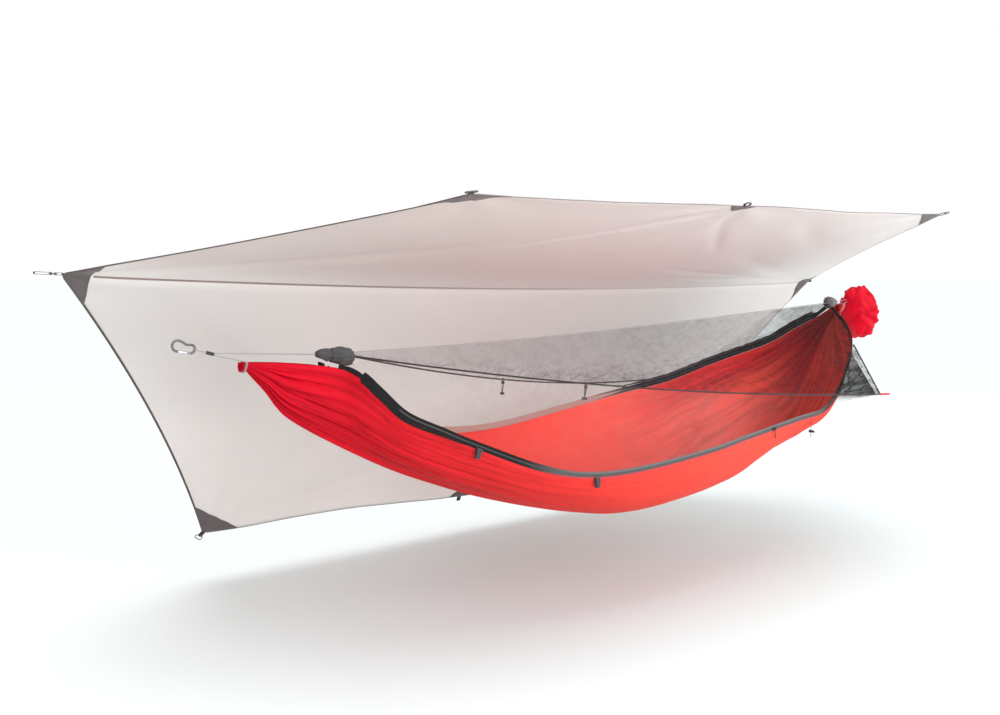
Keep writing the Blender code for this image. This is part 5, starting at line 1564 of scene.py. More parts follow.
def zip_finish(name, other_colour, start, end):
    """Black zip tape that shows another colour along a stretch, where other cloth lies over it."""
    material, tree, shader, cut, place = new_finish(name, 0.8, sheen=0.05, specular=0.2)
    height = effect(tree, ribbed, Cloth=cut, Rib=0.0012, Thread=0.0008)["Height"]
    stitches = stitch_rows(tree, cut, ZIP_WIDTH, TAPE_THICKNESS, TAPE_STITCH_INSET)
    shade = mottled(tree, place, scale=60.0, amount=0.5)
    # Painted shade: the hollows between the tape's ribs are darker than their tops.
    shade = vary(tree, shade, height, TAPE_RIB_GAIN, TAPE_RIB_BASE)
    x = split(tree, place)[0]
    after = fade(tree, x, start * HALF_SPAN, (start + TAPE_OVER_RUN_IN) * HALF_SPAN)
    before = inverse(tree, fade(tree, x, (end - TAPE_OVER_RUN_OUT) * HALF_SPAN, end * HALF_SPAN))
    tint(tree, shader, TAPE_COLOUR, shade, other_colour, maths(tree, "MULTIPLY", after, before))
    emboss(tree, shader, (height, TAPE_RIB_RISE), (stitches, STITCH_RISE))
    return material


def zip_frame(side, share):
    """A place on a zip, the directions along it and across it, and the way its outer face looks."""
    place, along, across = rim_frame(side, share * HALF_SPAN)
    outward = along.cross(across)
    if outward.y * SIGNS[side] < 0:
        outward = -outward
    return place, along, across, outward


def rim_run(side, start, end, steps, offset=0.0, lift=0.0):
    """A run along a rim between two shares, offset up across the zip and lifted off its outer face."""
    path = []
    sides = []
    for k in range(steps + 1):
        place, _, across, outward = zip_frame(side, lerp(start, end, k / steps))
        path.append(place + across * offset + outward * lift)
        sides.append(across)
    return path, sides


tape_finishes = {
    "near": zip_finish("near_zip_tape", NEAR_TAPE_OVER_COLOUR, HEM_START_SHARE - 0.05, HEM_END_SHARE),
    "far": zip_finish("far_zip_tape", FAR_TAPE_OVER_COLOUR, *FAR_TAPE_OVER_SHARES),
}
coil_finish = plastic_finish("zip_coil", COIL_COLOUR, roughness=0.35)
for side, tape_finish in tape_finishes.items():
    path, sides = rim_run(side, ZIP_START_SHARE, ZIP_END_SHARE, ZIP_STEPS)
    tape = roll(path, sides, strap_outline(ZIP_WIDTH, TAPE_THICKNESS))
    piece(f"{side}_zip_tape", tape, tape_finish, "hammock", "zip_tape", replaces=(f"{side}_zip",))
    teeth = 2 * int((ZIP_END_SHARE - ZIP_START_SHARE) * HALF_SPAN / COIL_PITCH)
    path, sides = rim_run(side, ZIP_START_SHARE, ZIP_END_SHARE, teeth)

    def toothed(i, p, q):
        """A coil turn on every other step, and the dip before the next."""
        return (p, q) if i % 2 else (COIL_DIP[0] * p, COIL_DIP[1] * q)

    oval_outline = [(p * COIL_WIDTH / 2, q * COIL_HEIGHT / 2) for p, q in circle(1.0, COIL_SIDES)]
    coil = roll(path, sides, oval_outline, shape=toothed)
    piece(f"{side}_zip_coil", coil, coil_finish, "hammock", "zip_tape")


FLAP_RUFFLE = 0.0012
FLAP_RUFFLE_TURNS = 90
FLAP_CUT = (0.30, FLAP_WIDTH)
FLAP_COLUMNS = 60
FLAP_ROWS = 6


def flap_place(u, v):
    """A place on the flap, which hangs from the near zip over the shell and narrows toward the middle."""
    part = (u + 1) / 2
    x = lerp(ZIP_START_SHARE, FLAP_END_SHARE, part) * HALF_SPAN
    depth = at_x("near", x).z - at_x("keel", x).z
    width = FLAP_WIDTH * (1 - part**2)
    share = -1 + (v + 1) / 2 * width / (depth * math.pi / 2)
    ruffle = FLAP_RUFFLE * math.sin(FLAP_RUFFLE_TURNS * x) * (v + 1) / 2
    return shell_section(x, share) - Y * (FLAP_LIFT + ruffle)


flap = drape(FLAP_COLUMNS, FLAP_ROWS, flat_cut(FLAP_CUT), flap_place)
flap_piece = piece("near_zip_flap", flap, tape_finishes["near"], "hammock", "zip_tape")
thicken(flap_piece, TAPE_THICKNESS)

SHELL_HEM_COLOUR = (0.80, 0.025, 0.03)
SHELL_HEM_THREAD = (0.5, 0.01, 0.02)
NET_HEM_COLOUR = (0.13, 0.125, 0.125)
INNER_HEM_COLOUR = (0.60, 0.36, 0.31)
INNER_HEM_THREAD = (0.45, 0.25, 0.22)
HEM_OVERHANG = 0.0012
HEM_RUN_IN = 30
INNER_HEM_RUN_IN = 40
hem_size = (HEM_STRIP_WIDTH, HEM_STRIP_THICKNESS)
red_hem = webbing_finish("shell_hem", SHELL_HEM_COLOUR, *hem_size, SHELL_HEM_THREAD)
net_hem = webbing_finish("net_hem", NET_HEM_COLOUR, *hem_size)
inner_hem = webbing_finish("inner_hem", INNER_HEM_COLOUR, ZIP_WIDTH, HEM_STRIP_THICKNESS, INNER_HEM_THREAD)
band_finish = cord_finish("net_band", (0.030, 0.027, 0.027), NET_CELL)
hem_offset = ZIP_WIDTH / 2 - HEM_STRIP_WIDTH / 2 + HEM_OVERHANG
hem_lift = (TAPE_THICKNESS + HEM_STRIP_THICKNESS) / 2


LEAST_WIDTH = 0.05


def tapered(steps, run_in):
    """An outline shape that grows over its first steps and dies away over its last."""

    def shape(i, p, q):
        """A place on the outline at step i."""
        return p * max(LEAST_WIDTH, min(1.0, i / run_in, (steps - i) / run_in)), q

    return shape


for name, finish, offset, slot in (
    ("shell_hem", red_hem, -hem_offset, "red_cloth"),
    ("net_hem", net_hem, hem_offset, "net"),
):
    path, sides = rim_run("near", HEM_START_SHARE, HEM_END_SHARE, ZIP_STEPS, offset, hem_lift)
    strip = roll(path, sides, strap_outline(*hem_size), shape=tapered(ZIP_STEPS, HEM_RUN_IN))
    piece(f"near_{name}", strip, finish, "hammock", slot)
path, sides = rim_run("far", *INNER_HEM_SHARES, ZIP_STEPS, 0.0, -(hem_lift + COIL_HEIGHT / 2))
inner_outline = strap_outline(ZIP_WIDTH, HEM_STRIP_THICKNESS)
strip = roll(path, sides, inner_outline, shape=tapered(ZIP_STEPS, INNER_HEM_RUN_IN))
piece("far_inner_hem", strip, inner_hem, "hammock", "red_cloth")


def crumpled_band(i, p, q):
    """The net's doubled edge, whose width and height wander."""
    wander = noise.noise(Vector((i * 0.11, 2.0, 0.0)))
    lift = noise.noise(Vector((i * 0.23, 6.0, 0.0)))
    swell = min(1.0, i / 40) * (1 + 0.45 * wander)
    return p * max(LEAST_WIDTH, swell) + 0.0015 * wander, q * (1.3 + lift) + 0.0012 * lift


path, sides = rim_run("far", *BAND_SHARES, ZIP_STEPS, ZIP_WIDTH / 2 + BAND_WIDTH / 2, 0.0)
band = roll(path, sides, strap_outline(BAND_WIDTH, 2 * TAPE_THICKNESS), shape=crumpled_band)
piece("far_net_band", band, band_finish, "hammock", "zip_tape")


def gathered_start(i, p, q):
    """The net's doubled edge where it is gathered under the head cap, which opens out to the zip's width."""
    grow = i / BAND_START_STEPS
    wander = noise.noise(Vector((i * 0.21, 4.0, 0.0)))
    ripple = noise.noise(Vector((p * 260.0, i * 0.16, 1.0)))
    height = lerp(1.6, 0.6, grow) * q + 0.0024 * ripple * (1 - grow)
    return p * lerp(0.55, 0.98, grow) * (1 + 0.25 * wander * (1 - grow)), height


for side in SIGNS:
    path, sides = rim_run(side, *BAND_START_SHARES, BAND_START_STEPS, BAND_START_RISE, BAND_START_LIFT)
    start = roll(path, sides, strap_outline(ZIP_WIDTH, 2 * TAPE_THICKNESS), shape=gathered_start)
    piece(f"{side}_band_start", start, tape_finishes[side], "hammock", "zip_tape")
    path, sides = rim_run(side, *BAND_END_SHARES, BAND_END_STEPS, BAND_START_RISE, BAND_START_LIFT)
    cap_under = ridge_cord_place(ZIP_END + BAND_END_REACH) - Z * BAND_END_DROP
    for i, here in enumerate(path):
        path[i] = here.lerp(cap_under, (i / BAND_END_STEPS) ** 2)
    finish = roll(path, sides, strap_outline(ZIP_WIDTH * BAND_END_NARROWING, 2 * TAPE_THICKNESS))
    piece(f"{side}_band_end", finish, tape_finishes[side], "hammock", "zip_tape")


# Slider: a moulded body that runs on the near zip. Its flat pull swings on a pin between two ears,
# and has four ribs across it for the fingers.
SLIDER_LENGTH = 0.016
SLIDER_HEIGHT = 0.011
SLIDER_THICKNESS = 0.004
SLIDER_PLACE_SHARE = 0.36
EAR_RADIUS = 0.0016
PULL_LENGTH = 0.030
PULL_WIDTH = 0.0055
PULL_THICKNESS = 0.0014
PULL_ROUND = 0.0005
SLIDER_ROUND = 0.0014
EAR_ROUND = 0.0005
SLIDER_PIN_ROUND = 0.0002
RIB_COUNT = 4
RIB_START_SHARE = 0.55
RIB_STEP_SHARE = 0.1
RIB_LENGTH = 0.0012
RIB_ROUND = 0.0004

place, along, across, outward = zip_frame("near", SLIDER_PLACE_SHARE)
centre = place + outward * (ZIP_THICKNESS / 2 + CLEARANCE + SLIDER_THICKNESS / 2)
body = block(centre, (along, across, outward), (SLIDER_LENGTH, SLIDER_HEIGHT, SLIDER_THICKNESS), SLIDER_ROUND)
piece("slider_body", body, black_plastic, "slider", "black_plastic", replaces=("zip_slider",))
pin_centre = centre + outward * (SLIDER_THICKNESS / 2 + EAR_RADIUS + PULL_THICKNESS)
half_pin = PULL_WIDTH / 2 + CLEARANCE + EAR_RADIUS
pin_profile = rounded(2 * half_pin, EAR_RADIUS / 2, SLIDER_PIN_ROUND)
pin = turned(pin_centre - along * half_pin, along, pin_profile, steps=16)
piece("slider_pin", pin, black_plastic, "slider", "black_plastic")
ear_height = SLIDER_THICKNESS / 2 + EAR_RADIUS + PULL_THICKNESS + EAR_RADIUS
for label, sign in (("head", -1), ("foot", 1)):
    ear_side = sign * (PULL_WIDTH / 2 + CLEARANCE + EAR_RADIUS / 2)
    ear_centre = centre + along * ear_side + outward * (ear_height / 2)
    ear = block(ear_centre, (along, across, outward), (EAR_RADIUS, 2 * EAR_RADIUS, ear_height), EAR_ROUND)
    piece(f"slider_{label}_ear", ear, black_plastic, "slider", "black_plastic")
down = -Z
eye = EAR_RADIUS / 2 + CLEARANCE + PULL_THICKNESS / 2
bar_top = pin_centre + down * (eye + PULL_THICKNESS / 2 - CLEARANCE)
frame_axes = (along, down.cross(along), down)
bar_centre = bar_top + down * (PULL_LENGTH / 2)
bar = block(bar_centre, frame_axes, (PULL_WIDTH, PULL_THICKNESS, PULL_LENGTH), PULL_ROUND)
piece("pull_bar", bar, black_plastic, "slider_pull", "black_plastic", replaces=("zip_pull",))
ring_path = [pin_centre + down * p + down.cross(along) * q for p, q in circle(eye, 24)]
ring_outline = strap_outline(PULL_WIDTH - CLEARANCE, PULL_THICKNESS)
ring = roll(ring_path, [along] * len(ring_path), ring_outline, closed=True)
piece("pull_eye", ring, black_plastic, "slider_pull", "black_plastic")
for k in range(RIB_COUNT):
    rib_centre = bar_top + down * (PULL_LENGTH * (RIB_START_SHARE + RIB_STEP_SHARE * k))
    rib = block(rib_centre, frame_axes, (PULL_WIDTH * 1.1, PULL_THICKNESS * 1.5, RIB_LENGTH), RIB_ROUND)
    piece(f"pull_rib_{k + 1}", rib, black_plastic, "slider_pull", "black_plastic")


# Insect net: fine knitted mesh, with a roof over the ridge cord, a wall on each side and a gore at the foot.
# Black piping covers its side seams, and it is drawn out sideways by a pull-out tab at each foot corner.
NET_THICKNESS = 0.0008
SEAM_RADIUS = 0.0025
SEAM_START_SPREAD = 0.009
CORNER_PLACE = 0.907
CORNER_WIDTHS = {"near": 0.42, "far": 0.48}
CORNER_DEPTH = 0.300
SEAM_SAGS = {"near": 0.034, "far": 0.052}
CORNER_SPREAD = 0.016
WALL_LIFT = 0.012
ROOF_SAG = 0.012
GORE_END_SHARE = 0.83
PULL_END_SHARE = 0.85
NET_CLEARANCE = SEAM_RADIUS + NET_THICKNESS / 2 + 2 * CLEARANCE
ROOF_COLUMNS = 180
ROOF_HALF_ROWS = 28
WALL_COLUMNS = 180
WALL_ROWS = 24
NET_STRETCH = (1.0, 0.35, 0.45)
CREASE_SHARPNESS = 5.0
CRUMPLE_SHARPNESS = 9.0
CREASE_SHARE = 0.2
RIM_EDGES = (0.10, 0.26)
RIM_LEAST_LINES = 0.3
PLAIN_DENSITY = 0.86
NET_HEAD_EDGES = (-0.9, 0.2)
NET_FOOT_EDGES = (0.1, 0.6)
NET_FOOT_COVER = 0.95
MOST_COVER = 0.95
GORE_EDGES = (0.84, 0.90)
DARK_CREASE_SHARE = 0.25
CREASE_LINE_SHADE_GAIN = -0.55
NET_FOOT_SHADE_GAIN = -0.60
NET_THREAD_RISE = 0.0002
NET_FOLD_RISE = 0.002
NET_CRUMPLE_RISE = 0.0008


def net_material(name, colour, open_cover, thread_cover, lines, gore, head_share, foot_gain):
    """Knitted net: covered by its threads, partly open between them, and denser where it is creased, with
    painted shade along its creases and towards the foot.

    lines is how much its creases show, gore the dark foot gore's colour and cover, head_share the
    cover left at the head, and foot_gain what is added to the cover from there on to the gore.
    """
    material, tree, shader, cut, place = new_finish(name, 0.8, specular=0.2)
    cover = effect(tree, knitted, Cloth=cut)["Cover"]
    shade = mottled(tree, place, scale=9.0, amount=0.12)
    folds = crinkled(tree, stretched(tree, place, NET_STRETCH), scale=9.0)
    fine_folds = crinkled(tree, place, scale=17.0)
    creased = sharpened(tree, folds, CREASE_SHARPNESS)
    crumpled = sharpened(tree, fine_folds, CRUMPLE_SHARPNESS)
    rim = fade(tree, maths(tree, "ABSOLUTE", split(tree, cut)[1]), *RIM_EDGES)
    rim_lines = maths(tree, "MULTIPLY_ADD", rim, lines, RIM_LEAST_LINES * lines)
    sharp = maths(tree, "MULTIPLY_ADD", crumpled, rim_lines, PLAIN_DENSITY)
    density = vary(tree, shade, creased, lines * CREASE_SHARE, sharp)
    x = split(tree, place)[0]
    from_head = fade(tree, x, *NET_HEAD_EDGES)
    density = vary(tree, density, from_head, NET_FOOT_COVER - head_share, head_share)
    foot_end = fade(tree, x, *NET_FOOT_EDGES)
    mask = fade(tree, x, *GORE_EDGES)
    beside_gore = maths(tree, "MULTIPLY", foot_end, inverse(tree, mask))
    density = vary(tree, density, beside_gore, foot_gain)
    alpha = maths(tree, "MULTIPLY_ADD", cover, thread_cover - open_cover, open_cover)
    # Painted shade: the net's colour darkens along its creases and towards the foot.
    crease_shade_lines = maths(tree, "MULTIPLY_ADD", creased, DARK_CREASE_SHARE, crumpled)
    shade = vary(tree, shade, maths(tree, "MINIMUM", crease_shade_lines, 1.0), CREASE_LINE_SHADE_GAIN)
    shade = vary(tree, shade, foot_end, NET_FOOT_SHADE_GAIN)
    gore_colour, gore_cover = gore
    tint(tree, shader, colour, shade, gore_colour, mask)
    alpha = maths(tree, "MULTIPLY_ADD", maths(tree, "SUBTRACT", gore_cover, alpha), mask, alpha)
    alpha = maths(tree, "MINIMUM", maths(tree, "MULTIPLY", alpha, density), MOST_COVER)
    tree.links.new(alpha, shader.inputs["Alpha"])
    heights = ((cover, NET_THREAD_RISE), (folds, NET_FOLD_RISE), (fine_folds, NET_CRUMPLE_RISE))
    emboss(tree, shader, *heights)
    return material


# The roof and the walls are one knitted mesh: the roof's dark colour is painted shade, and the walls' pale
# colour is painted light.
roof_net = net_material(
    "net",
    colour=(0.095, 0.105, 0.135),
    open_cover=0.05,
    thread_cover=0.30,
    lines=1.2,
    gore=((0.06, 0.06, 0.07), 0.36),
    head_share=0.68,
    foot_gain=0.0,
)
wall_net = net_material(
    "net_wall",
    colour=(0.74, 0.70, 0.70),
    open_cover=0.03,
    thread_cover=0.15,
    lines=1.6,
    gore=((0.03, 0.03, 0.035), 0.86),
    head_share=0.35,
    foot_gain=-0.35,
)
piping = cord_finish("piping", (0.022, 0.015, 0.015), 0.0014)


def corner_place(side):
    """Where a pull-out tab draws the net sideways."""
    return Vector((CORNER_PLACE, SIGNS[side] * CORNER_WIDTHS[side], -CORNER_DEPTH))


def seam_place(side, share):
    """A place on a net seam, from the head cap at 0 to the pull-out corner at 1."""
    start = ridge_cord_place(NET_START) + (Y * SIGNS[side] - Z) * SEAM_START_SPREAD
    return start.lerp(corner_place(side), share) - Z * (SEAM_SAGS[side] * 4 * share * (1 - share))


def seam_tangent(side, share):
    """The direction of a net seam, toward its pull-out corner."""
    step = CORNER_SPREAD / 2
    return (seam_place(side, share + step) - seam_place(side, share - step)).normalized()


def pull_edge_end(side):
    """Where a pull-out edge meets the outer side of the rim zip."""
    place, along, across = rim_frame(side, PULL_END_SHARE * HALF_SPAN)
    return place + Y * (SIGNS[side] * (ZIP_THICKNESS + SEAM_RADIUS + CLEARANCE)) + across * (ZIP_WIDTH / 2)


SEAM_STEPS = 90
PULL_EDGE_STEPS = 12
PULL_OUT_WIDTH = 0.006
for side in SIGNS:
    path = [seam_place(side, k / SEAM_STEPS) for k in range(SEAM_STEPS + 1)]
    seam = roll(path, [Z] * len(path), circle(SEAM_RADIUS, 12))
    piece(f"{side}_piping", seam, piping, "hammock", "black_cord", replaces=(f"{side}_net_seam",))
    corner = corner_place(side)
    outward = seam_tangent(side, 1)
    wide = outward.cross(Z).normalized().cross(outward)
    base = corner + outward * CLEARANCE
    loop = strap_loop(base, outward, wide, PULL_TAB_LENGTH, EDGE_TAB_HALF_GAP, PULL_OUT_WIDTH)
    replaced = (f"{side}_pull_out_tab",)
    piece(f"{side}_pull_out_strap", loop, red_webbing, "hammock", "red_webbing", replaces=replaced)
    reach = pull_edge_end(side) - corner
    start = corner + reach.normalized() * (3 * SEAM_RADIUS)
    end = corner + reach * (1 - CORNER_SPREAD)
    path = [start.lerp(end, k / PULL_EDGE_STEPS) for k in range(PULL_EDGE_STEPS + 1)]
    edge = roll(path, [Z] * len(path), circle(SEAM_RADIUS, 12))
    replaced = (f"{side}_pull_out_edge",)
    piece(f"{side}_pull_out_piping", edge, piping, "hammock", "black_cord", replaces=replaced)


@functools.cache
def roof_outline(side, x):
    """The roof's outer edge: along the seam to the corner, up the pull-out edge, then along the zip."""
    corner = corner_place(side)
    end = pull_edge_end(side)
    if x > end.x:
        return rim_edge(side, x, RIM_HALF_BAND + NET_THICKNESS / 2)
    if x < corner.x:
        share = (x - NET_START) / (corner.x - NET_START)
        place = seam_place(side, share)
        along = seam_tangent(side, share)
    else:
        place = corner.lerp(end, (x - corner.x) / (end.x - corner.x))
        along = (end - corner).normalized()
    inward = ridge_cord_place(x) - place
    inward = (inward - along * inward.dot(along)).normalized()
    return place + inward * NET_CLEARANCE


ROOF_RIPPLE = 0.004


def roof_place(u, v):
    """A place on the roof: u runs from the head to the foot, and v from the near edge to the far one."""
    x = lerp(NET_START, ZIP_END, (u + 1) / 2)
    top = ridge_cord_place(x) - Z * (CORD_RADIUS + CLEARANCE + NET_THICKNESS / 2)
    side = "near" if v < 0 else "far"
    outer = roof_outline(side, x)
    part = abs(v)
    sag = ROOF_SAG * 4 * part * (1 - part) * min(1.0, 4 * abs(outer.y))
    ripple = ROOF_RIPPLE * part * (1 - part) * noise.noise(Vector((x * 9.0, v * 3.0, 2.0)))
    sag += ripple * min(1.0, 8 * abs(outer.y))
    return top.lerp(outer, part) - Z * sag


ROOF_CUT = (2.30, 0.55)
roof = drape(ROOF_COLUMNS, 2 * ROOF_HALF_ROWS, flat_cut(ROOF_CUT), roof_place)
roof_cloth = piece("roof_mesh", roof, roof_net, "hammock", "net", replaces=("net_roof",))


def cubic(a, b, c, d, t):
    """A place on the smooth curve from a to d, drawn toward b and c."""
    return a.lerp(b, t).lerp(b.lerp(c, t), t).lerp(b.lerp(c, t).lerp(c.lerp(d, t), t), t)


WALL_CUT = (2.10, 0.30)
for side in SIGNS:

    def wall_place(u, v):
        """A place on this side's wall: v runs from the zip to the piping, or to the zip past the corner."""
        run_end = RUN_END_SHARES[0] * HALF_SPAN
        gore_end = GORE_END_SHARE * HALF_SPAN
        x = lerp(NET_START, gore_end, (u + 1) / 2)
        share = min(1.0, (x - NET_START) / (run_end - NET_START)) * (1 - CORNER_SPREAD)
        part = max(0.0, (x - run_end) / (gore_end - run_end))
        _, _, across = rim_frame(side, x)
        low = rim_edge(side, x, RIM_HALF_BAND + NET_THICKNESS / 2)
        seam = seam_place(side, share)
        along = seam_tangent(side, share)
        under = (low - seam).normalized() - Z * (3 * share**4)
        under = (under - along * under.dot(along)).normalized()
        high = seam + under * NET_CLEARANCE + along * (CORNER_SPREAD * part)
        lifted = low + across * (WALL_LIFT * (1 - part))
        return cubic(low, lifted, high.lerp(low, 1 / 3), high, (v + 1) / 2)

    wall = drape(WALL_COLUMNS, WALL_ROWS, flat_cut(WALL_CUT), wall_place)
    wall_cloth = piece(f"{side}_wall_mesh", wall, wall_net, "hammock", "net", replaces=(f"{side}_net_wall",))


# Net caps: at each end the net is gathered round the ridge cord, twisted into a crumpled sleeve and
# sewn shut. The head's is longer and darker, and is drawn in once by its thread.
CAP_SMALL_RADIUS = 0.0055
CAP_LARGE_RADIUS = 0.021
CAP_STEPS = 70
CAP_TURNS = 120
CAP_FALLS = {"head": 0.012, "foot": 0.0}
CAP_FOLDS = 9
CAP_TWIST = 5.0
CAP_FOLD_SHARE = 0.26
CAP_LUMP_SHARE = 0.18
CAP_OPENING = 1.5
CAP_PINCH_SHARES = (0.36, 0.42)
CAP_PINCH = 0.75
CAP_COLOURS = {"head": (0.070, 0.070, 0.075), "foot": (0.17, 0.17, 0.18)}
CAP_COVER_GAIN = 0.35
CAP_COVER_BASE = 0.8
CAP_FOLD_RISE = 0.0006

cap_finishes = {}
for end, colour in CAP_COLOURS.items():
    material, tree, shader, cut, place = new_finish(f"{end}_net_cap", 0.85, sheen=0.2)
    cover = effect(tree, knitted, Cloth=cut)["Cover"]
    folds = crinkled(tree, place, scale=40.0)
    shade = mottled(tree, place, scale=40.0, amount=0.5)
    # Painted shade: the gaps between the cap's threads are darker than the threads.
    shade = vary(tree, shade, cover, CAP_COVER_GAIN, CAP_COVER_BASE)
    tint(tree, shader, colour, shade)
    emboss(tree, shader, (cover, NET_THREAD_RISE), (folds, CAP_FOLD_RISE))
    cap_finishes[end] = material
for end, start, length in (
    ("head", NET_START - HEAD_CAP_LENGTH - 2 * NET_THICKNESS, HEAD_CAP_LENGTH),
    ("foot", ZIP_END + CLEARANCE, FOOT_CAP_LENGTH),
):

    def twisted(i, p, q):
        """A place on the sleeve's outline, with folds that wind round it and lumps between them."""
        share = i / CAP_STEPS
        grow = share if end == "head" else 1 - share
        turn = math.atan2(q, p)
        radius = lerp(CAP_SMALL_RADIUS, CAP_LARGE_RADIUS, min(1.0, grow * CAP_OPENING) ** 0.6)
        lump = noise.noise(Vector((math.cos(turn) * 1.2, math.sin(turn) * 1.2, share * 3.5)))
        fold = abs(math.sin(CAP_FOLDS * turn / 2 + CAP_TWIST * share + 1.5 * lump))
        radius *= 1 + CAP_FOLD_SHARE * (fold**0.6 - 0.6) + CAP_LUMP_SHARE * lump
        if end == "head" and CAP_PINCH_SHARES[0] < share < CAP_PINCH_SHARES[1]:
            radius *= CAP_PINCH
        return radius * math.cos(turn), radius * math.sin(turn)

    path = []
    for k in range(CAP_STEPS + 1):
        fall = CAP_FALLS[end] * (k / CAP_STEPS) ** 1.5
        path.append(ridge_cord_place(start + length * k / CAP_STEPS) - Z * fall)
    sleeve = roll(path, [Y] * len(path), circle(CAP_LARGE_RADIUS, CAP_TURNS), shape=twisted)
    replaced = (f"{end}_net_cap",)
    piece(f"{end}_cap_sleeve", sleeve, cap_finishes[end], "hammock", "net", crease=180, replaces=replaced)


# Gear loops: two tabs of black webbing sewn to the near zip's tape. They taper to a fold and hang
# outside the shell.
GEAR_LOOP_SHARES = {"head": -0.55, "mid": -0.28}
GEAR_LOOP_TILT = 0.25
GEAR_LOOP_LENGTH = 0.030
GEAR_LOOP_WIDTH = 0.018
GEAR_LOOP_TAPER = 0.35

for name, share in GEAR_LOOP_SHARES.items():
    point, along, across, outward = zip_frame("near", share)
    half_loop = EDGE_TAB_HALF_GAP + WEBBING_THICKNESS
    clear = ZIP_THICKNESS / 2 + CLEARANCE + half_loop * (1 - GEAR_LOOP_TILT)
    start = point + outward * clear - across * (ZIP_WIDTH / 4)
    down = (outward * GEAR_LOOP_TILT - across).normalized()
    loop = strap_loop(start, down, along, GEAR_LOOP_LENGTH, EDGE_TAB_HALF_GAP, GEAR_LOOP_WIDTH)
    for vert in loop.verts:
        fall = (vert.co - start).dot(down) / GEAR_LOOP_LENGTH
        vert.co -= along * ((vert.co - start).dot(along) * GEAR_LOOP_TAPER * max(0.0, min(1.0, fall)))
    piece(f"{name}_gear_strap", loop, black_webbing, "hammock", "webbing", replaces=(f"{name}_gear_loop",))


# Net toggles: an elastic loop goes round each side seam and ends in a small moulded barrel, which
# holds the net when it is rolled up. A wrap of the same elastic binds the loop below the seam.
TOGGLE_SHARES = {"near": 0.375, "far": 0.36}
TOGGLE_LOOP_LENGTH = 0.046
TOGGLE_LOOP_WIDTH = 0.0032
TOGGLE_LENGTH = 0.016
TOGGLE_RADIUS = 0.0042
TOGGLE_CLEARANCE = 0.0005
TOGGLE_FOOT_GAP = 0.0012
TOGGLE_WRAP = (0.0085, 0.0085, 0.0100)
TOGGLE_WRAP_ROUND = 0.0018
TOGGLE_ROUND = 0.0012
TOGGLE_WAIST_SHARE = 0.78
TOGGLE_BOW_STEPS = 12
TOGGLE_LEG_STEPS = 8
ELASTIC_COLOUR = (0.06, 0.042, 0.038)

toggle_elastic = webbing_finish("toggle_elastic", ELASTIC_COLOUR, TOGGLE_LOOP_WIDTH, WEBBING_THICKNESS)
for side, share in TOGGLE_SHARES.items():
    along = seam_tangent(side, share)
    down = (-Z + along * Z.dot(along)).normalized()
    normal = down.cross(along)
    radius = SEAM_RADIUS + TOGGLE_CLEARANCE + WEBBING_THICKNESS / 2
    seam = seam_place(side, share)
    foot = seam + down * (TOGGLE_LOOP_LENGTH - radius)
    path = arc(seam, normal, -down, radius, TOGGLE_BOW_STEPS)
    bow_end = path[-1]
    for k in range(1, TOGGLE_LEG_STEPS + 1):
        path.append(bow_end.lerp(foot - normal * TOGGLE_FOOT_GAP, k / TOGGLE_LEG_STEPS))
    for k in range(TOGGLE_LEG_STEPS + 1):
        path.append((foot + normal * TOGGLE_FOOT_GAP).lerp(path[0], k / (TOGGLE_LEG_STEPS + 1)))
    outline = strap_outline(TOGGLE_LOOP_WIDTH, WEBBING_THICKNESS)
    elastic = roll(path, [along] * len(path), outline, closed=True)
    body = f"{side}_toggle"
    piece(f"{side}_toggle_loop", elastic, toggle_elastic, body, "black_plastic", replaces=(body,))
    half = TOGGLE_LENGTH / 2
    profile = rounded(TOGGLE_LENGTH, TOGGLE_RADIUS, TOGGLE_ROUND)
    profile.insert(len(profile) // 2, (half, TOGGLE_RADIUS * TOGGLE_WAIST_SHARE))
    centre = foot + down * (TOGGLE_RADIUS / 2)
    barrel = turned(centre - along * half, along, profile)
    piece(f"{side}_toggle_barrel", barrel, black_plastic, body, "black_plastic")
    wrap_centre = seam + down * (radius + WEBBING_THICKNESS + TOGGLE_WRAP[2] / 2)
    wrap = block(wrap_centre, (along, normal, down), TOGGLE_WRAP, TOGGLE_WRAP_ROUND)
    piece(f"{side}_toggle_wrap", wrap, toggle_elastic, body, "black_plastic")


# Draw cord: a thin black cord that hangs out below the near zip. It runs down through a spring lock
# with a push button, and a knot keeps the lock from coming off.
DRAW_CORD_ROUTE = [
    (0.7209, -0.26813, -0.38571),
    (0.7209, -0.26813, -0.39396),
    (0.7209, -0.26813, -0.40221),
    (0.7209, -0.26813, -0.41046),
    (0.7209, -0.26813, -0.41871),
    (0.7209, -0.26813, -0.42696),
    (0.7209, -0.26813, -0.43521),
    (0.7209, -0.26813, -0.44346),
    (0.7209, -0.26813, -0.45171),
]
DRAW_CORD_RADIUS = 0.0008
LOCK_FALL = 0.044
LOCK_RADIUS = 0.0050
LOCK_LENGTH = 0.014
BUTTON_RADIUS = 0.0042
BUTTON_THICKNESS = 0.0025
BUTTON_TRAVEL = 0.0030
BUTTON_STEM_RADIUS = 0.0020
BUTTON_STEM_LENGTH = 0.0040
KNOT_RADIUS = 0.0019
KNOT_TURNS = 2
KNOT_STEPS = 24
KNOT_HEIGHT = 0.0024
LOCK_GROOVE_SHARES = (0.62, 0.66, 0.90, 0.98)
LOCK_GROOVE_DEPTH = 0.0006
LOCK_MOUTH_DEPTH = 0.0011

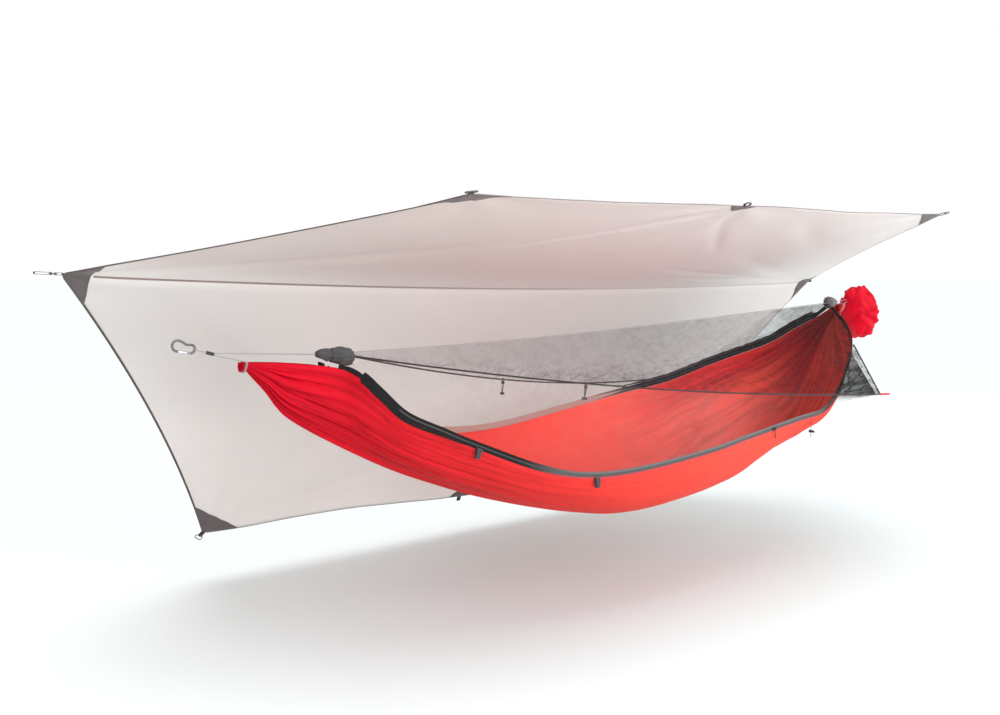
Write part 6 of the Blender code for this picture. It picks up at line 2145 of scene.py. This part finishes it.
route = [Vector(place) for place in DRAW_CORD_ROUTE]
draw_cord = roll(route, [X] * len(route), circle(DRAW_CORD_RADIUS, 10))
draw_cord = piece("draw_cord_line", draw_cord, black_cord, "hammock", "black_cord", replaces=("draw_cord",))
knot_path = []
for k in range(KNOT_STEPS + 1):
    turn = 2 * math.pi * KNOT_TURNS * k / KNOT_STEPS
    ring_radius = KNOT_RADIUS - DRAW_CORD_RADIUS
    offset = X * (ring_radius * math.cos(turn)) + Y * (ring_radius * math.sin(turn))
    knot_path.append(route[-2] + offset - Z * (KNOT_HEIGHT * k / KNOT_STEPS - KNOT_HEIGHT / 2))
knot = cord_piece("draw_cord_knot", knot_path, DRAW_CORD_RADIUS, black_cord, "hammock", "black_cord", (), 8)
centre = route[0] - Z * LOCK_FALL
barrel_profile = [
    (0, 0),
    (0, LOCK_RADIUS - 0.0012),
    (0.0004, LOCK_RADIUS - 0.0004),
    (0.0012, LOCK_RADIUS),
    (LOCK_LENGTH * LOCK_GROOVE_SHARES[0], LOCK_RADIUS),
    (LOCK_LENGTH * LOCK_GROOVE_SHARES[1], LOCK_RADIUS - LOCK_GROOVE_DEPTH),
    (LOCK_LENGTH * LOCK_GROOVE_SHARES[2], LOCK_RADIUS - LOCK_GROOVE_DEPTH),
    (LOCK_LENGTH * LOCK_GROOVE_SHARES[3], LOCK_RADIUS - LOCK_MOUTH_DEPTH),
    (LOCK_LENGTH, BUTTON_STEM_RADIUS + CLEARANCE),
    (LOCK_LENGTH - BUTTON_STEM_LENGTH, BUTTON_STEM_RADIUS + CLEARANCE),
    (LOCK_LENGTH - BUTTON_STEM_LENGTH, 0),
]
barrel = turned(centre + Y * (LOCK_LENGTH / 2), -Y, barrel_profile, 32)
moulded = {"material": black_plastic, "slot": "black_plastic", "crease": 35}
lock = piece("lock_barrel", barrel, body="hammock", replaces=("cord_lock",), **moulded)
mouth = centre - Y * (LOCK_LENGTH / 2)
stem_depth = BUTTON_STEM_LENGTH - BUTTON_TRAVEL - CLEARANCE
base = stem_depth + BUTTON_TRAVEL + CLEARANCE
button_profile = [
    (0, 0),
    (0, BUTTON_STEM_RADIUS),
    (base, BUTTON_STEM_RADIUS),
    (base, BUTTON_RADIUS - 0.0004),
    (base + 0.0004, BUTTON_RADIUS),
    (base + BUTTON_THICKNESS - 0.0008, BUTTON_RADIUS),
    (base + BUTTON_THICKNESS - 0.0002, BUTTON_RADIUS - 0.0006),
    (base + BUTTON_THICKNESS, BUTTON_RADIUS * 0.6),
    (base + BUTTON_THICKNESS - 0.0003, 0),
]
button = turned(mouth + Y * stem_depth, -Y, button_profile, 32)
button_piece = piece("push_button", button, body="lock_button", replaces=("lock_button",), **moulded)


# Stuff sack: a bag of the same red nylon, with a tunnel at each mouth, drawn over the foot
# suspension. It is nearly empty, so it hangs crumpled, in folds that wind round it.
SACK_START = 1.352
SACK_LENGTH = 0.088
SACK_HALF_WIDTH = 0.072
SACK_HALF_HEIGHT = 0.110
SACK_SHIFT_Y = -0.026
SACK_SHIFT_Z = -0.062
SACK_TUNNEL_LIFT = 0.005
SACK_FOLD_HEIGHT = 0.014
SACK_STEPS = 90
SACK_TURNS = 220
SACK_COLOUR = (0.74, 0.005, 0.026)
SACK_TUCK_SHARPNESS = 3.0
SACK_TUCK_SHADE_GAIN = -0.30
SACK_TUCK_BASE = 1.1
SACK_FOLD_RISE = -0.0035

hang, along, up = suspension("foot")
path = []
for k in range(SACK_STEPS + 1):
    share = k / SACK_STEPS
    place = hang + along * ((hang.x - SACK_START - SACK_LENGTH * share) / -along.x)
    path.append(place + Z * (SACK_TUNNEL_LIFT * (1 - share)))


def crumpled(i, p, q):
    """A place on the bag's outline: it swells from both mouths, with broad folds that wind down across it."""
    share = i / SACK_STEPS
    turn = math.atan2(q, p)
    swell = math.sqrt(1 - (0.985 * (2 * share - 1)) ** 2) ** 0.8
    swell *= 1 + 0.06 * math.sin(2 * turn + 4 * share) + 0.04 * math.sin(3 * turn + 7 * share)
    round_place = Vector((math.cos(turn), math.sin(turn), 0))
    warp = noise.noise(round_place * 1.3 + Z * (share * 1.8))
    slant = abs(math.sin(2.5 * turn + 5 * share + 2.2 * warp))
    second = abs(math.sin(4.5 * turn - 6 * share + 3.0 * warp + 1.0))
    tuck = abs(noise.noise(round_place * 2.0 + Z * (share * 2.6 + slant)))
    lump = SACK_FOLD_HEIGHT * (1.1 * slant**0.7 + 0.5 * second - 0.75 - 1.3 * tuck)
    lump *= min(1.0, swell)
    return (
        SACK_SHIFT_Y * swell + (SACK_HALF_WIDTH * swell + lump) * math.cos(turn),
        SACK_SHIFT_Z * swell + (SACK_HALF_HEIGHT * swell + lump) * math.sin(turn),
    )


sack_finish, tree, shader, cut, place = new_finish("sack_cloth", 0.45, specular=0.14)
cloth = effect(tree, ripstop, Cloth=cut, Thread=RED_THREAD, Grid=RED_GRID)
shade = mottled(tree, place, scale=14.0, amount=0.25)
shade = maths(tree, "MULTIPLY_ADD", cloth["Grid lines"], RED_GRID_LINE_GAIN, shade)
folds = crinkled(tree, place, scale=11.0)
# Painted shade: the sack is darker in the hollows of its crinkled folds and a little lighter elsewhere.
painted_tuck_shade = sharpened(tree, folds, SACK_TUCK_SHARPNESS)
shade = vary(tree, shade, painted_tuck_shade, SACK_TUCK_SHADE_GAIN, SACK_TUCK_BASE)
tint(tree, shader, SACK_COLOUR, shade)
emboss(tree, shader, (cloth["Height"], RED_THREAD_RISE), (folds, SACK_FOLD_RISE))
sack = roll(path, [Y] * len(path), circle(SACK_HALF_WIDTH, SACK_TURNS), shape=crumpled)
replaced = ("stuff_sack",)
sack_cloth = piece("sack_cloth", sack, sack_finish, "hammock", "red_cloth", crease=180, replaces=replaced)
